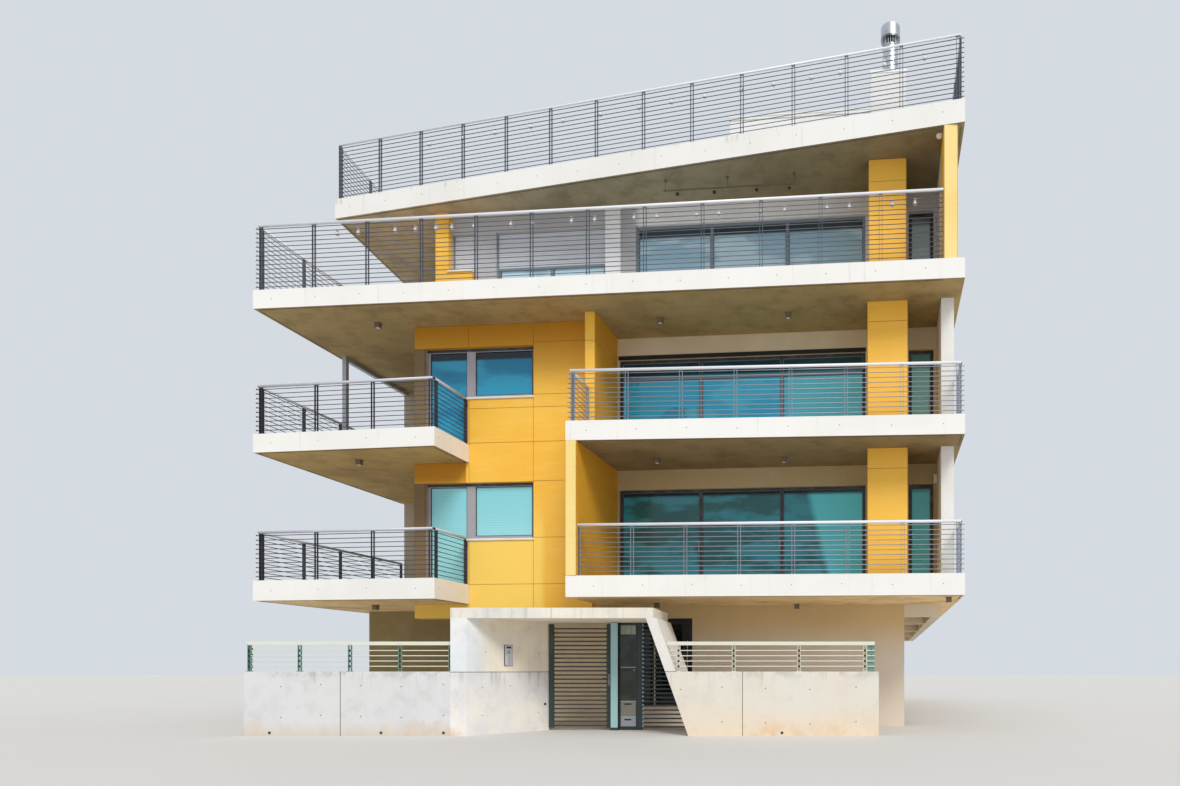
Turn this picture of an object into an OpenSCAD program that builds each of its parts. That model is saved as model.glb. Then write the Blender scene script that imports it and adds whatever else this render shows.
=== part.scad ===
// Apartment block: four levels of skewed balcony slabs over an open ground floor, with its
// boundary wall, gatehouse and fences. Millimetres. Z is up, X runs along the facade to the
// right and Y runs to the back. The origin is at the middle of the bounding box, on the ground.

/* [Building plan] */
// Width of the floor slabs
building_w = 14940; // [13500:10:16500]
// Depth from the front edge of the top slab to the rear edge
building_d = 18000; // [14000:50:22000]
// How far the slab edges stand out past the side and rear walls
edge_out = 140; // [100:5:250]
// Thickness of the outer walls
wall_t = 260; // [200:5:320]
// Width of the open loggias at the left front
wing_w = 2870; // [2400:10:3300]
// Depth of the left loggias from the front edge to their rear wall
wing_d = 5100; // [4000:50:6500]
// Width of the yellow wall
yellow_w = 4110; // [3800:10:4600]
// Setback of the yellow wall behind the front edge
yellow_y = 1200; // [900:10:1500]
// Thickness of the yellow wall
yellow_t = 250; // [200:5:320]
// Setback of the glazed front walls behind the front edge
recess_y = 2200; // [1900:10:2600]
// Thickness of the wall at the left of the yellow wall
return_t = 250; // [200:5:360]
// How far the right balconies stand forward at their left end
right_out = 280; // [100:5:400]
// Width of the left balconies
left_balcony_w = 4150; // [3800:10:4500]
// How far the left balconies stand forward at their right end
left_out = 170; // [60:5:300]

/* [Levels] */
// Clear height of the ground floor
ground_h = 2740; // [2500:10:3200]
// Height from the underside of slab 1 to the underside of slab 2
storey_1_h = 3150; // [2900:10:3500]
// Height from the underside of slab 2 to the underside of slab 3
storey_2_h = 3060; // [2900:10:3500]
// Height from the underside of slab 3 to the underside of the roof
storey_3_h = 3050; // [2900:10:3500]
// Thickness of the floor slabs
slab_t = 250; // [180:5:300]
// Height of the edge band of slab 1
edge_1_h = 430; // [360:5:520]
// Height of the edge band of slabs 2 and 3
edge_2_h = 395; // [340:5:520]
// Height of the edge band of the roof
edge_roof_h = 460; // [360:5:560]

/* [Roof] */
// Setback of the roof's left front corner behind the front edge
roof_skew = 2020; // [1200:10:2600]
// Distance of the roof's left front corner from the left side
roof_inset = 370; // [100:10:700]
// Distance from the front edge at which the roof reaches its full width
roof_full_y = 6000; // [5400:50:7000]
// Width of the stair head
stair_head_w = 3320; // [2600:10:3800]
// Depth of the stair head
stair_head_d = 3000; // [2400:10:3600]
// Setback of the stair head behind the front edge
stair_head_y = 3000; // [2700:10:3600]
// Height of the stair head above the roof deck
stair_head_h = 2250; // [2000:10:2600]
// Height of the chimney stack above the roof deck
stack_h = 1620; // [1200:10:2000]
// Width of the chimney stack
stack_w = 735; // [600:5:780]
// Depth of the chimney stack
stack_d = 850; // [600:10:1100]
// Outside diameter of the flue pipe
flue_d = 325; // [250:5:400]
// Height of the flue pipe above the stack
flue_h = 800; // [500:10:1200]
// Distance of the flue from the stack's middle, to the right
flue_off = 45; // [0:5:90]
// Outside diameter of the flue's cap
cap_d = 410; // [405:5:520]
// Height of the flue's cap
cap_h = 270; // [200:5:400]
// Open height under the flue's cap
cap_gap = 130; // [100:5:260]

/* [Pillar, fins and posts] */
// Width of the chimney pillar
pillar_w = 830; // [600:10:950]
// Setback of the chimney pillar behind the front edge
pillar_y = 850; // [600:10:1100]
// Setback of the third storey's pillar behind the front edge
pillar_3_y = 1010; // [900:10:1200]
// How much the third storey's pillar is narrower on each side
pillar_3_in = 25; // [10:5:60]
// Gap between the chimney pillar and the right wall
pillar_gap = 690; // [640:10:900]
// Thickness of the yellow fins
fin_t = 220; // [200:5:320]
// Setback of the second storey's fin behind the front edge
fin_2_y = 770; // [500:10:900]
// Setback of the right wall's front end on storeys 1 and 2
pier_y = 830; // [600:10:1100]
// Depth of the third storey's end column
end_column_d = 760; // [400:10:760]
// Setback of the third storey's end column behind the front edge
end_column_y = 60; // [0:5:120]
// Width of the third storey's yellow corner pier
corner_w = 320; // [280:5:400]
// How far that corner pier stands in front of its wall
corner_out = 170; // [60:5:300]
// Width of the third storey's white pier
white_pier_w = 360; // [300:5:420]
// How far the white pier runs to the right of the fins
white_pier_x = 90; // [50:5:150]
// How far the white pier stands in front of its wall
white_pier_out = 60; // [30:5:120]
// Width of the steel post on the second storey's left balcony
steel_post_w = 100; // [80:5:150]
// Distance of the steel post from the front edge
steel_post_y = 2560; // [2000:10:3200]

/* [Openings] */
// Height of the door and window heads above the first storey's floor
head_1_h = 2450; // [2200:10:2500]
// Height of the door and window heads above the second storey's floor
head_2_h = 2320; // [2150:10:2400]
// Height of the door and window heads above the third storey's floor
head_3_h = 2360; // [2200:10:2400]
// Height of the window sills above the floor
sill_h = 1200; // [900:10:1400]
// Height of the third storey's small window's sill above the floor
small_sill_h = 1440; // [1200:10:1600]
// Width of the yellow wall's balcony door
door_w = 1000; // [800:10:1100]
// Width of the yellow wall's window
window_w = 1520; // [1200:10:1700]
// Width of the bar between that door and that window
mullion_w = 180; // [120:10:240]
// Gap between the glass fronts' right end and the chimney pillar
glass_end_gap = 70; // [50:5:120]
// Gap between the fin and the glass front on storeys 1 and 2
glass_front_gap = 40; // [20:5:60]
// Gap between the white pier and the glass front on storey 3
glass_front_3_gap = 430; // [350:10:550]
// Width of the glazed door beside the pillar
narrow_door_w = 550; // [500:10:600]
// Width of the loggia doors
loggia_door_w = 1600; // [1200:10:1700]
// Distance of the loggia doors from the yellow wall's left end
loggia_door_gap = 700; // [500:10:800]
// Width of the third storey's shuttered glass front
shutter_front_w = 2660; // [2400:10:2900]
// Width of the third storey's small window
small_window_w = 580; // [500:10:700]
// Width of the side and rear windows
side_window_w = 1300; // [1000:10:1600]
// Width of a window frame's bars
frame_w = 60; // [40:5:80]
// Depth of a window frame
frame_d = 80; // [60:5:120]
// Distance of the window frames behind the face of their wall
frame_in = 90; // [40:5:110]
// Thickness of the glass
glass_t = 24; // [12:2:32]
// Height of the fixed lights over the second storey's glass front
transom_h = 340; // [250:10:450]
// Height that the roller shutters hang down
shutter_drop = 860; // [600:10:1100]
// Thickness of a roller shutter
shutter_t = 20; // [12:2:30]

/* [Railings] */
// Height of the railings of storeys 1 and 2
rail_h = 1060; // [900:10:1200]
// Height of the third storey's railing
terrace_rail_h = 1420; // [1100:10:1500]
// Height of the roof's railing
roof_rail_h = 1330; // [1100:10:1400]
// Thickness of a horizontal bar
bar_t = 14; // [10:1:20]
// Width of a post seen from the front
post_w = 50; // [40:2:60]
// Depth of a post
post_d = 44; // [30:2:60]
// Width of the top rail
top_rail_w = 60; // [50:2:80]
// Height of the top rail
top_rail_t = 40; // [30:2:60]
// Aim for the distance between posts
post_step = 1150; // [900:10:1400]
// Aim for the distance between the posts of the third storey's front railing
terrace_step = 1200; // [1000:10:1400]
// Distance of the railings' middle line from the slab edge
rail_in = 70; // [50:5:80]
// Bars of the railings of storeys 1 and 2
bars_low = 10; // [7:1:12]
// Bars of the third storey's railing
bars_terrace = 14; // [9:1:15]
// Bars of the roof's railing
bars_roof = 13; // [9:1:14]

/* [Ground floor] */
// Bottom of the yellow wall over the ground floor
yellow_z = 2420; // [2300:10:2600]
// Setback of the ground floor's left wall
ground_left_y = 3200; // [2800:10:4000]
// Distance of the ground floor's left wall from the slab's left side
ground_left_in = 420; // [200:10:700]
// Distance of the ground floor's front wall from the slab's right side
ground_right_in = 1120; // [900:10:1400]
// Thickness of the ground floor's walls
ground_wall_t = 250; // [200:5:300]
// Width of the open parking bays behind the front wall
parking_w = 3600; // [3000:50:4200]
// Depth of the parking beams below slab 1
beam_h = 270; // [200:10:350]
// Width of the parking beams
beam_w = 250; // [200:10:350]
// Setback of the first parking beam behind the front edge
beam_y = 5150; // [4500:50:6000]
// Width of the beam along the right edge
edge_beam_w = 200; // [150:10:300]
// Distance of that beam from the slab's right side
edge_beam_in = 315; // [150:5:400]
// Width of a parking column
column_w = 300; // [240:10:400]
// Height of the lobby's floor above the lowest ground
lobby_z = 450; // [300:10:500]
// Thickness of the lobby's floor
lobby_t = 200; // [150:10:250]
// Width of the entrance door's opening
entrance_w = 900; // [850:10:1100]
// Height of the wall left between the entrance door's opening and the slab
entrance_lintel = 280; // [150:10:450]
// Distance of the entrance from the fin's left face
entrance_x = 1090; // [800:10:1500]
// Thickness of the entrance door's leaf
entrance_t = 50; // [40:2:60]
// Gap around a leaf that turns
leaf_gap = 8; // [6:1:12]
// Diameter of a hinge knuckle
hinge_d = 28; // [20:1:40]
// Height of a hinge knuckle
hinge_h = 60; // [40:5:90]
// Running clearance between two knuckles
hinge_clear = 0.3; // [0.1:0.1:1]

/* [Street front] */
// Angle between the boundary wall and the facade
street_angle = 5.15; // [4:0.05:6]
// Place of the boundary wall's right end along the facade
street_x = 5790; // [5600:10:6000]
// Distance of the boundary wall's right end in front of the facade
street_y = 410; // [380:10:700]
// Height of the boundary wall
fence_wall_h = 1240; // [1000:10:1400]
// Thickness of the boundary wall
fence_wall_t = 200; // [150:5:250]
// Length of the left boundary wall
left_wall_l = 3970; // [3000:10:4500]
// Length of the right boundary wall at its top, up to the leaning blade's outer face
right_wall_l = 3910; // [3300:10:4500]
// Width of the gatehouse
gatehouse_w = 3900; // [3700:10:4100]
// Depth of the gatehouse
gatehouse_d = 1550; // [1400:10:1700]
// Underside of the canopy above the ground
canopy_z = 2270; // [2200:10:2300]
// Thickness of the canopy
canopy_t = 200; // [150:5:220]
// Width of the gatehouse wall's front face
panel_face_w = 310; // [200:10:400]
// Thickness of the gatehouse wall
panel_t = 250; // [200:5:300]
// Distance that the gatehouse wall runs to the right as it goes back
panel_run = 1080; // [900:5:1200]
// Width of the leaning blade seen from the front
blade_w = 200; // [160:5:260]
// Distance of the canopy's right end from the blade's right face
canopy_in = 60; // [0:5:120]
// Lean of the blade, sideways for each unit of height
blade_lean = 0.36; // [0.3:0.01:0.4]
// Width of the gate's leaf
gate_w = 1320; // [1200:5:1400]
// Thickness of the gate's leaf
gate_t = 50; // [40:2:60]
// Gap between the top of the gate and the canopy
gate_top_gap = 30; // [20:5:150]
// Gap under the gate
gate_gap = 50; // [30:5:80]
// Width of the gate's stiles
gate_stile = 100; // [70:5:120]
// Distance between the gate's bars
gate_step = 89; // [80:1:100]
// Height of a bar of the gate
gate_bar = 30; // [24:1:40]
// Width of the post beside the gate
gate_post_w = 155; // [120:5:180]
// Width of the letter box column
letter_w = 390; // [340:5:460]
// Gap between a bar's end and the blade
blade_gap = 5; // [3:1:10]
// Height of the fence's top rail above the ground
fence_top_z = 1820; // [1700:10:1900]
// Height of the fence's top rail itself
fence_rail_h = 70; // [50:5:90]
// Thickness of a fence bar
fence_bar = 25; // [18:1:30]
// Bars of the fence under its top rail
fence_bars = 4; // [3:1:6]
// Bays of the left fence
fence_bays_left = 4; // [3:1:6]
// Bays of the right fence
fence_bays_right = 3; // [2:1:5]

/* [Hidden] */

// Overshoot of a cut through a face
cut = 20;
x_left = -building_w / 2;
x_right = building_w / 2;
wall_left = x_left + edge_out;
wall_right = x_right - edge_out;
wall_rear = building_d - edge_out;
inner_right = wall_right - wall_t;
yellow_left = x_left + wing_w;
fin_left = yellow_left + yellow_w;
fin_right = fin_left + fin_t;
balcony_right = x_left + left_balcony_w;
pillar_right = inner_right - pillar_gap;
pillar_left = pillar_right - pillar_w;
pillar_3 = [pillar_left + pillar_3_in, pillar_right - pillar_3_in];

soffit = [ground_h, ground_h + storey_1_h, ground_h + storey_1_h + storey_2_h,
    ground_h + storey_1_h + storey_2_h + storey_3_h];
edge_h = [edge_1_h, edge_2_h, edge_2_h, edge_roof_h];
storeys = [1, 2, 3];
function floor_z(n) = soffit[n - 1] + slab_t;
function edge_z(n) = soffit[n - 1] + edge_h[n - 1];
function ceiling_z(n) = soffit[n];
head_h = [head_1_h, head_2_h, head_3_h];
function sill_z(n) = floor_z(n) + sill_h;
function head_z(n) = floor_z(n) + head_h[n - 1];
roof_deck = floor_z(4);
roof_edge = edge_z(4);

// The boundary wall's own frame: u runs along the street, v runs away from it
blade_top_u = -right_wall_l - blade_lean * (canopy_z - fence_wall_h) - blade_w;
canopy_right_u = blade_top_u + blade_w - canopy_in;
panel_u = canopy_right_u - gatehouse_w;
street_left_u = panel_u - left_wall_l;
front_y = -street_y + street_left_u * sin(street_angle);
middle_y = (front_y + building_d) / 2;

concrete = [0.86, 0.84, 0.79];
white_render = [0.92, 0.91, 0.88];
grey_render = [0.72, 0.70, 0.66];
beige_render = [0.80, 0.74, 0.63];
yellow = [0.94, 0.71, 0.24];
steel_grey = [0.36, 0.38, 0.42];
frame_grey = [0.30, 0.33, 0.35];
glass_blue = [0.30, 0.55, 0.66, 0.5];
gate_green = [0.33, 0.44, 0.45];
fence_white = [0.88, 0.92, 0.88];
door_dark = [0.12, 0.12, 0.13];

module placed() {
    translate([0, -middle_y, 0]) children();
}

module on_street() {
    placed() translate([street_x, -street_y, 0]) rotate([0, 0, street_angle]) children();
}

module box(x0, x1, y0, y1, z0, z1) {
    translate([x0, y0, z0]) cube([x1 - x0, y1 - y0, z1 - z0]);
}

// An upright prism on a plan outline
module prism(points, z0, z1) {
    translate([0, 0, z0]) linear_extrude(z1 - z0) polygon(points);
}

// A prism on an outline drawn in X and Z, running from y0 to y1
module upright(points, y0, y1) {
    translate([0, y1, 0]) rotate([90, 0, 0]) linear_extrude(y1 - y0) polygon(points);
}

// Outlines
function turn_in(d) = [-d[1], d[0]];
function way(a, b) = (b - a) / norm(b - a);
function inset(points, gap) = [for (i = [0:len(points) - 1])
    let (n = len(points),
        before = turn_in(way(points[(i + n - 1) % n], points[i])),
        after = turn_in(way(points[i], points[(i + 1) % n])))
    points[i] + gap * (before + after) / (1 + before * after)];

function right_front_y(x) = -right_out * (x_right - x) / (x_right - fin_left);
function left_front_y(x) = -left_out * (x - x_left) / (balcony_right - x_left);

top_outline = [[x_left, 0], [x_right, 0], [x_right, building_d], [x_left, building_d]];
roof_outline = [[x_left + roof_inset, roof_skew], [x_right, 0], [x_right, building_d],
    [x_left, building_d], [x_left, roof_full_y]];
main_outline = [[fin_left, right_front_y(fin_left)], [x_right, 0], [x_right, building_d],
    [x_left, building_d], [x_left, wing_d], [yellow_left, wing_d],
    [yellow_left, yellow_y + yellow_t], [fin_left, yellow_y + yellow_t]];
main_pocket = [[fin_right, right_front_y(fin_right) + edge_out],
    [wall_right, right_front_y(wall_right) + edge_out], [wall_right, wall_rear],
    [wall_left, wall_rear], [wall_left, wing_d - cut], [yellow_left - cut, wing_d - cut],
    [yellow_left - cut, yellow_y + yellow_t - cut], [fin_left, yellow_y + yellow_t - cut],
    [fin_left, recess_y], [fin_right, recess_y]];
left_outline = [[x_left, 0], [balcony_right, left_front_y(balcony_right)],
    [balcony_right, yellow_y], [yellow_left, yellow_y], [yellow_left, wing_d],
    [x_left, wing_d]];
left_pocket = [[wall_left, left_front_y(wall_left) + edge_out],
    [balcony_right - edge_out, left_front_y(balcony_right - edge_out) + edge_out],
    [balcony_right - edge_out, yellow_y + cut], [yellow_left + cut, yellow_y + cut],
    [yellow_left + cut, wing_d + cut], [wall_left, wing_d + cut]];

module edged_slab(outline, pocket, n) {
    difference() {
        prism(outline, soffit[n - 1], edge_z(n));
        prism(pocket, floor_z(n), edge_z(n) + cut);
    }
}

// Slabs
module roof_slab() {
    color(concrete) placed() edged_slab(roof_outline, inset(roof_outline, edge_out), 4);
}
module floor_slab_3() {
    color(concrete) placed() edged_slab(top_outline, inset(top_outline, edge_out), 3);
}
module floor_slab_2() {
    color(concrete) placed() edged_slab(main_outline, main_pocket, 2);
}
module floor_slab_1() {
    color(concrete) placed() edged_slab(main_outline, main_pocket, 1);
}
module left_balcony_2() {
    color(concrete) placed() edged_slab(left_outline, left_pocket, 2);
}
module left_balcony_1() {
    color(concrete) placed() edged_slab(left_outline, left_pocket, 1);
}

// Openings in the front, each as x0, x1, z0, z1 above the floor of storey n
yellow_door = [yellow_left + return_t, yellow_left + return_t + door_w];
yellow_window = [yellow_door[1], yellow_door[1] + window_w];
glass_end = pillar_left - glass_end_gap;
function glass_front(n) = [fin_right + (n == 3 ? glass_front_3_gap : glass_front_gap),
    glass_end];
narrow_door = [pillar_right + (pillar_gap - narrow_door_w) / 2,
    pillar_right + (pillar_gap + narrow_door_w) / 2];
white_pier = [fin_right + white_pier_x - white_pier_w, fin_right + white_pier_x];
shutter_front = [white_pier[0] - shutter_front_w, white_pier[0]];
small_window = [yellow_left + corner_w, yellow_left + corner_w + small_window_w];
small_sill_z = floor_z(3) + small_sill_h;

module yellow_face(n, z0, z1) {
    difference() {
        box(yellow_left, fin_left, yellow_y, yellow_y + yellow_t, z0, z1);
        box(yellow_left - cut, yellow_door[1], yellow_y - cut, yellow_y + yellow_t + cut,
            floor_z(n), head_z(n));
        box(yellow_left - cut, yellow_window[1], yellow_y - cut, yellow_y + yellow_t + cut,
            sill_z(n), head_z(n));
    }
}
module yellow_wall_2() {
    color(yellow) placed() yellow_face(2, floor_z(2), soffit[2]);
}
module yellow_wall_1() {
    color(yellow) placed() yellow_face(1, yellow_z, floor_z(2));
}
module yellow_fins() {
    color(yellow) placed() {
        box(fin_left, fin_right, right_front_y(fin_left), recess_y, edge_z(1), soffit[1]);
        box(fin_left, fin_right, fin_2_y, recess_y, edge_z(2), soffit[2]);
    }
}

module cut_front(span, n, z0) {
    box(span[0], span[1], recess_y - cut, recess_y + wall_t + cut, z0, head_z(n));
}
module recess_face(n) {
    difference() {
        box(fin_left, inner_right, recess_y, recess_y + wall_t, floor_z(n), ceiling_z(n));
        cut_front(glass_front(n), n, floor_z(n) - cut);
        cut_front(narrow_door, n, floor_z(n) - cut);
    }
}
module recess_wall_1() {
    color(white_render) placed() recess_face(1);
}
module recess_wall_2() {
    color(white_render) placed() recess_face(2);
}
module recess_wall_3() {
    color(grey_render) placed() difference() {
        box(yellow_left, inner_right, recess_y, recess_y + wall_t, floor_z(3), ceiling_z(3));
        for (span = [glass_front(3), narrow_door, shutter_front])
            cut_front(span, 3, floor_z(3) - cut);
        cut_front(small_window, 3, small_sill_z);
    }
}
module yellow_piers_3() {
    color(yellow) placed() {
        upright([[yellow_left, floor_z(3)], [small_window[1], floor_z(3)],
            [small_window[1], small_sill_z], [yellow_left + corner_w, small_sill_z],
            [yellow_left + corner_w, ceiling_z(3)], [yellow_left, ceiling_z(3)]],
            recess_y - corner_out, recess_y);
        box(inner_right, wall_right, edge_out, end_column_y + end_column_d, floor_z(3),
            edge_z(3));
        box(inner_right, wall_right, end_column_y, end_column_y + end_column_d,
            edge_z(3), ceiling_z(3));
    }
}
module white_pier_3() {
    color(white_render) placed() box(white_pier[0], white_pier[1],
        recess_y - white_pier_out, recess_y, floor_z(3), ceiling_z(3));
}
module chimney_pillar() {
    color(yellow) placed() {
        for (n = [1, 2])
            box(pillar_left, pillar_right, pillar_y, recess_y, floor_z(n), ceiling_z(n));
        box(pillar_3[0], pillar_3[1], pillar_3_y, recess_y, floor_z(3), ceiling_z(3));
    }
}

// Side and rear walls, with windows spread evenly along each
side_windows = 4;
side_span = wall_rear - wing_d - wall_t;
function side_window_y(i) = wing_d + side_span * (i + 0.5) / side_windows;
rear_windows = 4;
rear_span = wall_right - wall_left;
function rear_window_x(i) = wall_left + rear_span * (i + 0.5) / rear_windows;

module side_cuts(x0, x1, n) {
    for (i = [0:side_windows - 1])
        box(x0 - cut, x1 + cut, side_window_y(i) - side_window_w / 2,
            side_window_y(i) + side_window_w / 2, sill_z(n), head_z(n));
}
module right_walls() {
    color(white_render) placed() for (n = storeys) {
        front = n == 3 ? end_column_y + end_column_d : pier_y;
        difference() {
            box(inner_right, wall_right, front, wall_rear, floor_z(n), ceiling_z(n));
            side_cuts(inner_right, wall_right, n);
        }
    }
}
module left_walls() {
    color(white_render) placed() for (n = storeys) difference() {
        box(wall_left, wall_left + wall_t, wing_d, wall_rear, floor_z(n), ceiling_z(n));
        side_cuts(wall_left, wall_left + wall_t, n);
    }
}
rear_x = [wall_left + wall_t, rear_window_x(1) - side_window_w,
    rear_window_x(2) + side_window_w, inner_right];
module rear_piece(x0, x1, n) {
    difference() {
        box(x0, x1, wall_rear - wall_t, wall_rear, floor_z(n), ceiling_z(n));
        for (i = [0:rear_windows - 1])
            box(rear_window_x(i) - side_window_w / 2, rear_window_x(i) + side_window_w / 2,
                wall_rear - wall_t - cut, wall_rear + cut, sill_z(n), head_z(n));
    }
}
module rear_walls() {
    color(white_render) placed() for (n = storeys) {
        rear_piece(rear_x[0], rear_x[1], n);
        rear_piece(rear_x[2], rear_x[3], n);
    }
}
module rear_yellow_walls() {
    color(yellow) placed() for (n = storeys) rear_piece(rear_x[1], rear_x[2], n);
}

loggia_door = [yellow_left - loggia_door_gap - loggia_door_w,
    yellow_left - loggia_door_gap];
module loggia_walls() {
    color(grey_render) placed() for (n = storeys) difference() {
        box(wall_left + wall_t, yellow_left, wing_d, wing_d + wall_t,
            floor_z(n), ceiling_z(n));
        box(loggia_door[0], loggia_door[1], wing_d - cut, wing_d + wall_t + cut,
            floor_z(n) - cut, head_z(n));
    }
}
module loggia_side_walls() {
    color(grey_render) placed() {
        for (n = [1, 2]) {
            box(yellow_left, yellow_left + return_t, yellow_y + yellow_t, wing_d + wall_t,
                floor_z(n), ceiling_z(n));
            box(yellow_left, yellow_left + return_t, yellow_y + yellow_t / 5,
                yellow_y + yellow_t, floor_z(n), head_z(n));
        }
        box(yellow_left, yellow_left + return_t, recess_y + wall_t, wing_d + wall_t,
            floor_z(3), ceiling_z(3));
    }
}

// Hinge knuckles of a leaf that lies at X > 0 in front of Y = 0. The hinge line stands at
// X = 0. The lower knuckle belongs to the jamb and the upper one to the leaf.
hinge_back = hinge_d / 2 + 1;
hinge_strap = 50;
strap_t = 12;
module jamb_knuckle() {
    translate([0, hinge_back, 0]) cylinder(d = hinge_d, h = hinge_h, $fn = 24);
    translate([-leaf_gap - hinge_strap, 0, 0])
        cube([leaf_gap + hinge_strap, strap_t, hinge_h]);
}
module leaf_knuckle() {
    translate([0, 0, hinge_h + hinge_clear]) {
        translate([0, hinge_back, 0]) cylinder(d = hinge_d, h = hinge_h, $fn = 24);
        cube([hinge_strap, strap_t, hinge_h]);
    }
}

// Ground floor
ground_right = x_right - ground_right_in;
lobby_left = x_left + ground_left_in;
lobby_right = ground_right - parking_w;
entrance = [fin_left + entrance_x, fin_left + entrance_x + entrance_w];
entrance_h = ground_h - entrance_lintel;
entrance_hinges = [lobby_z + (entrance_h - lobby_z) * 0.15,
    lobby_z + (entrance_h - lobby_z) * 0.8];
module ground_front_wall() {
    color(beige_render) placed() {
        difference() {
            box(fin_left, ground_right, recess_y, recess_y + ground_wall_t, 0, ground_h);
            box(entrance[0], entrance[1], recess_y - cut, recess_y + ground_wall_t + cut,
                lobby_z, entrance_h);
        }
        for (z = entrance_hinges)
            translate([entrance[0] + leaf_gap, recess_y + ground_wall_t, z]) jamb_knuckle();
    }
}
module ground_left_wall() {
    color(beige_render) placed() box(lobby_left, fin_left, ground_left_y,
        ground_left_y + ground_wall_t, 0, ground_h);
}
module lobby_side_walls() {
    rear = wall_rear - ground_wall_t;
    color(beige_render) placed() {
        box(fin_left, fin_left + ground_wall_t, recess_y + ground_wall_t,
            ground_left_y + ground_wall_t, 0, ground_h);
        box(lobby_left, lobby_left + ground_wall_t, ground_left_y + ground_wall_t, rear,
            0, ground_h);
        box(lobby_right - ground_wall_t, lobby_right, recess_y + ground_wall_t, rear,
            0, ground_h);
        box(lobby_left, lobby_right, rear, rear + ground_wall_t, 0, ground_h);
    }
}
module lobby_floor() {
    color(grey_render) placed() prism([
        [fin_left + ground_wall_t, recess_y + ground_wall_t],
        [lobby_right - ground_wall_t, recess_y + ground_wall_t],
        [lobby_right - ground_wall_t, wall_rear - ground_wall_t],
        [lobby_left + ground_wall_t, wall_rear - ground_wall_t],
        [lobby_left + ground_wall_t, ground_left_y + ground_wall_t],
        [fin_left + ground_wall_t, ground_left_y + ground_wall_t]],
        lobby_z - lobby_t, lobby_z);
}

beam_rows = 4;
beam_last_y = wall_rear - beam_w;
function beam_row_y(i) = beam_y + (beam_last_y - beam_y) * (i - 1) / (beam_rows - 1);
edge_beam = [x_right - edge_beam_in - edge_beam_w, x_right - edge_beam_in];
module parking_beams() {
    color(beige_render) placed() {
        box(edge_beam[0], edge_beam[1], recess_y, wall_rear, ground_h - beam_h, ground_h);
        box(ground_right, edge_beam[0], recess_y, recess_y + ground_wall_t,
            ground_h - beam_h, ground_h);
        for (i = [1:beam_rows])
            box(lobby_right, edge_beam[0], beam_row_y(i), beam_row_y(i) + beam_w,
                ground_h - beam_h, ground_h);
    }
}
module parking_columns() {
    color(beige_render) placed() for (i = [1:beam_rows])
        box(ground_right - column_w, ground_right, beam_row_y(i) + (beam_w - column_w) / 2,
            beam_row_y(i) + (beam_w + column_w) / 2, 0, ground_h - beam_h);
}

// Window frames and their glass. A pane is x0, x1, z0, z1 within the opening.
function split(span, parts) = let (clear = span[1] - span[0] - frame_w * (parts + 1))
    [for (i = [0:parts - 1])
        let (x0 = span[0] + frame_w + i * (clear / parts + frame_w))
        [x0, x0 + clear / parts]];
module panes(span, parts, z0, z1, y, t) {
    for (p = split(span, parts)) box(p[0], p[1], y, y + t, z0, z1);
}
module all_panes(span, parts, z0, z1, y, t, light, extra) {
    inner = [span[0] + extra, span[1]];
    split_z = z1 - frame_w - light;
    panes(inner, parts, z0 + frame_w, light > 0 ? split_z - frame_w : z1 - frame_w, y, t);
    if (light > 0) panes(inner, parts, split_z, z1 - frame_w, y, t);
}
module frame_of(span, parts, z0, z1, face, light = 0, extra = 0) {
    difference() {
        box(span[0], span[1], face + frame_in, face + frame_in + frame_d, z0, z1);
        all_panes(span, parts, z0, z1, face + frame_in - cut, frame_d + 2 * cut, light,
            extra);
    }
}
module glass_of(span, parts, z0, z1, face, light = 0, extra = 0) {
    all_panes(span, parts, z0, z1, face + frame_in + (frame_d - glass_t) / 2, glass_t,
        light, extra);
}

// The front's openings: span, panes across, foot, wall face, top light, extra at the left
function front_openings(n) = concat(
    [[glass_front(n), 3, floor_z(n), recess_y, n == 2 ? transom_h : 0, 0],
    [narrow_door, 1, floor_z(n), recess_y, 0, 0],
    [loggia_door, 2, floor_z(n), wing_d, 0, 0]],
    n == 3 ? [[shutter_front, 2, floor_z(n), recess_y, 0, 0],
            [small_window, 1, small_sill_z, recess_y, 0, 0]]
        : [[yellow_door, 1, floor_z(n), yellow_y, 0, 0],
            [yellow_window, 1, sill_z(n), yellow_y, 0, mullion_w - 2 * frame_w]]);
module front_frames(n) {
    color(frame_grey) placed() for (o = front_openings(n))
        frame_of(o[0], o[1], o[2], head_z(n), o[3], o[4], o[5]);
}
module front_glass(n) {
    color(glass_blue) placed() for (o = front_openings(n))
        glass_of(o[0], o[1], o[2], head_z(n), o[3], o[4], o[5]);
}
module front_frames_1() {
    front_frames(1);
}
module front_frames_2() {
    front_frames(2);
}
module front_frames_3() {
    front_frames(3);
}
module front_glass_1() {
    front_glass(1);
}
module front_glass_2() {
    front_glass(2);
}
module front_glass_3() {
    front_glass(3);
}
module roller_shutters() {
    top = head_z(3);
    y = recess_y + frame_in - shutter_t;
    color(steel_grey) placed() {
        box(shutter_front[0], shutter_front[1], y, y + shutter_t, top - shutter_drop, top);
        box(small_window[0], small_window[1], y, y + shutter_t,
            max(top - shutter_drop, small_sill_z), top);
    }
}

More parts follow.
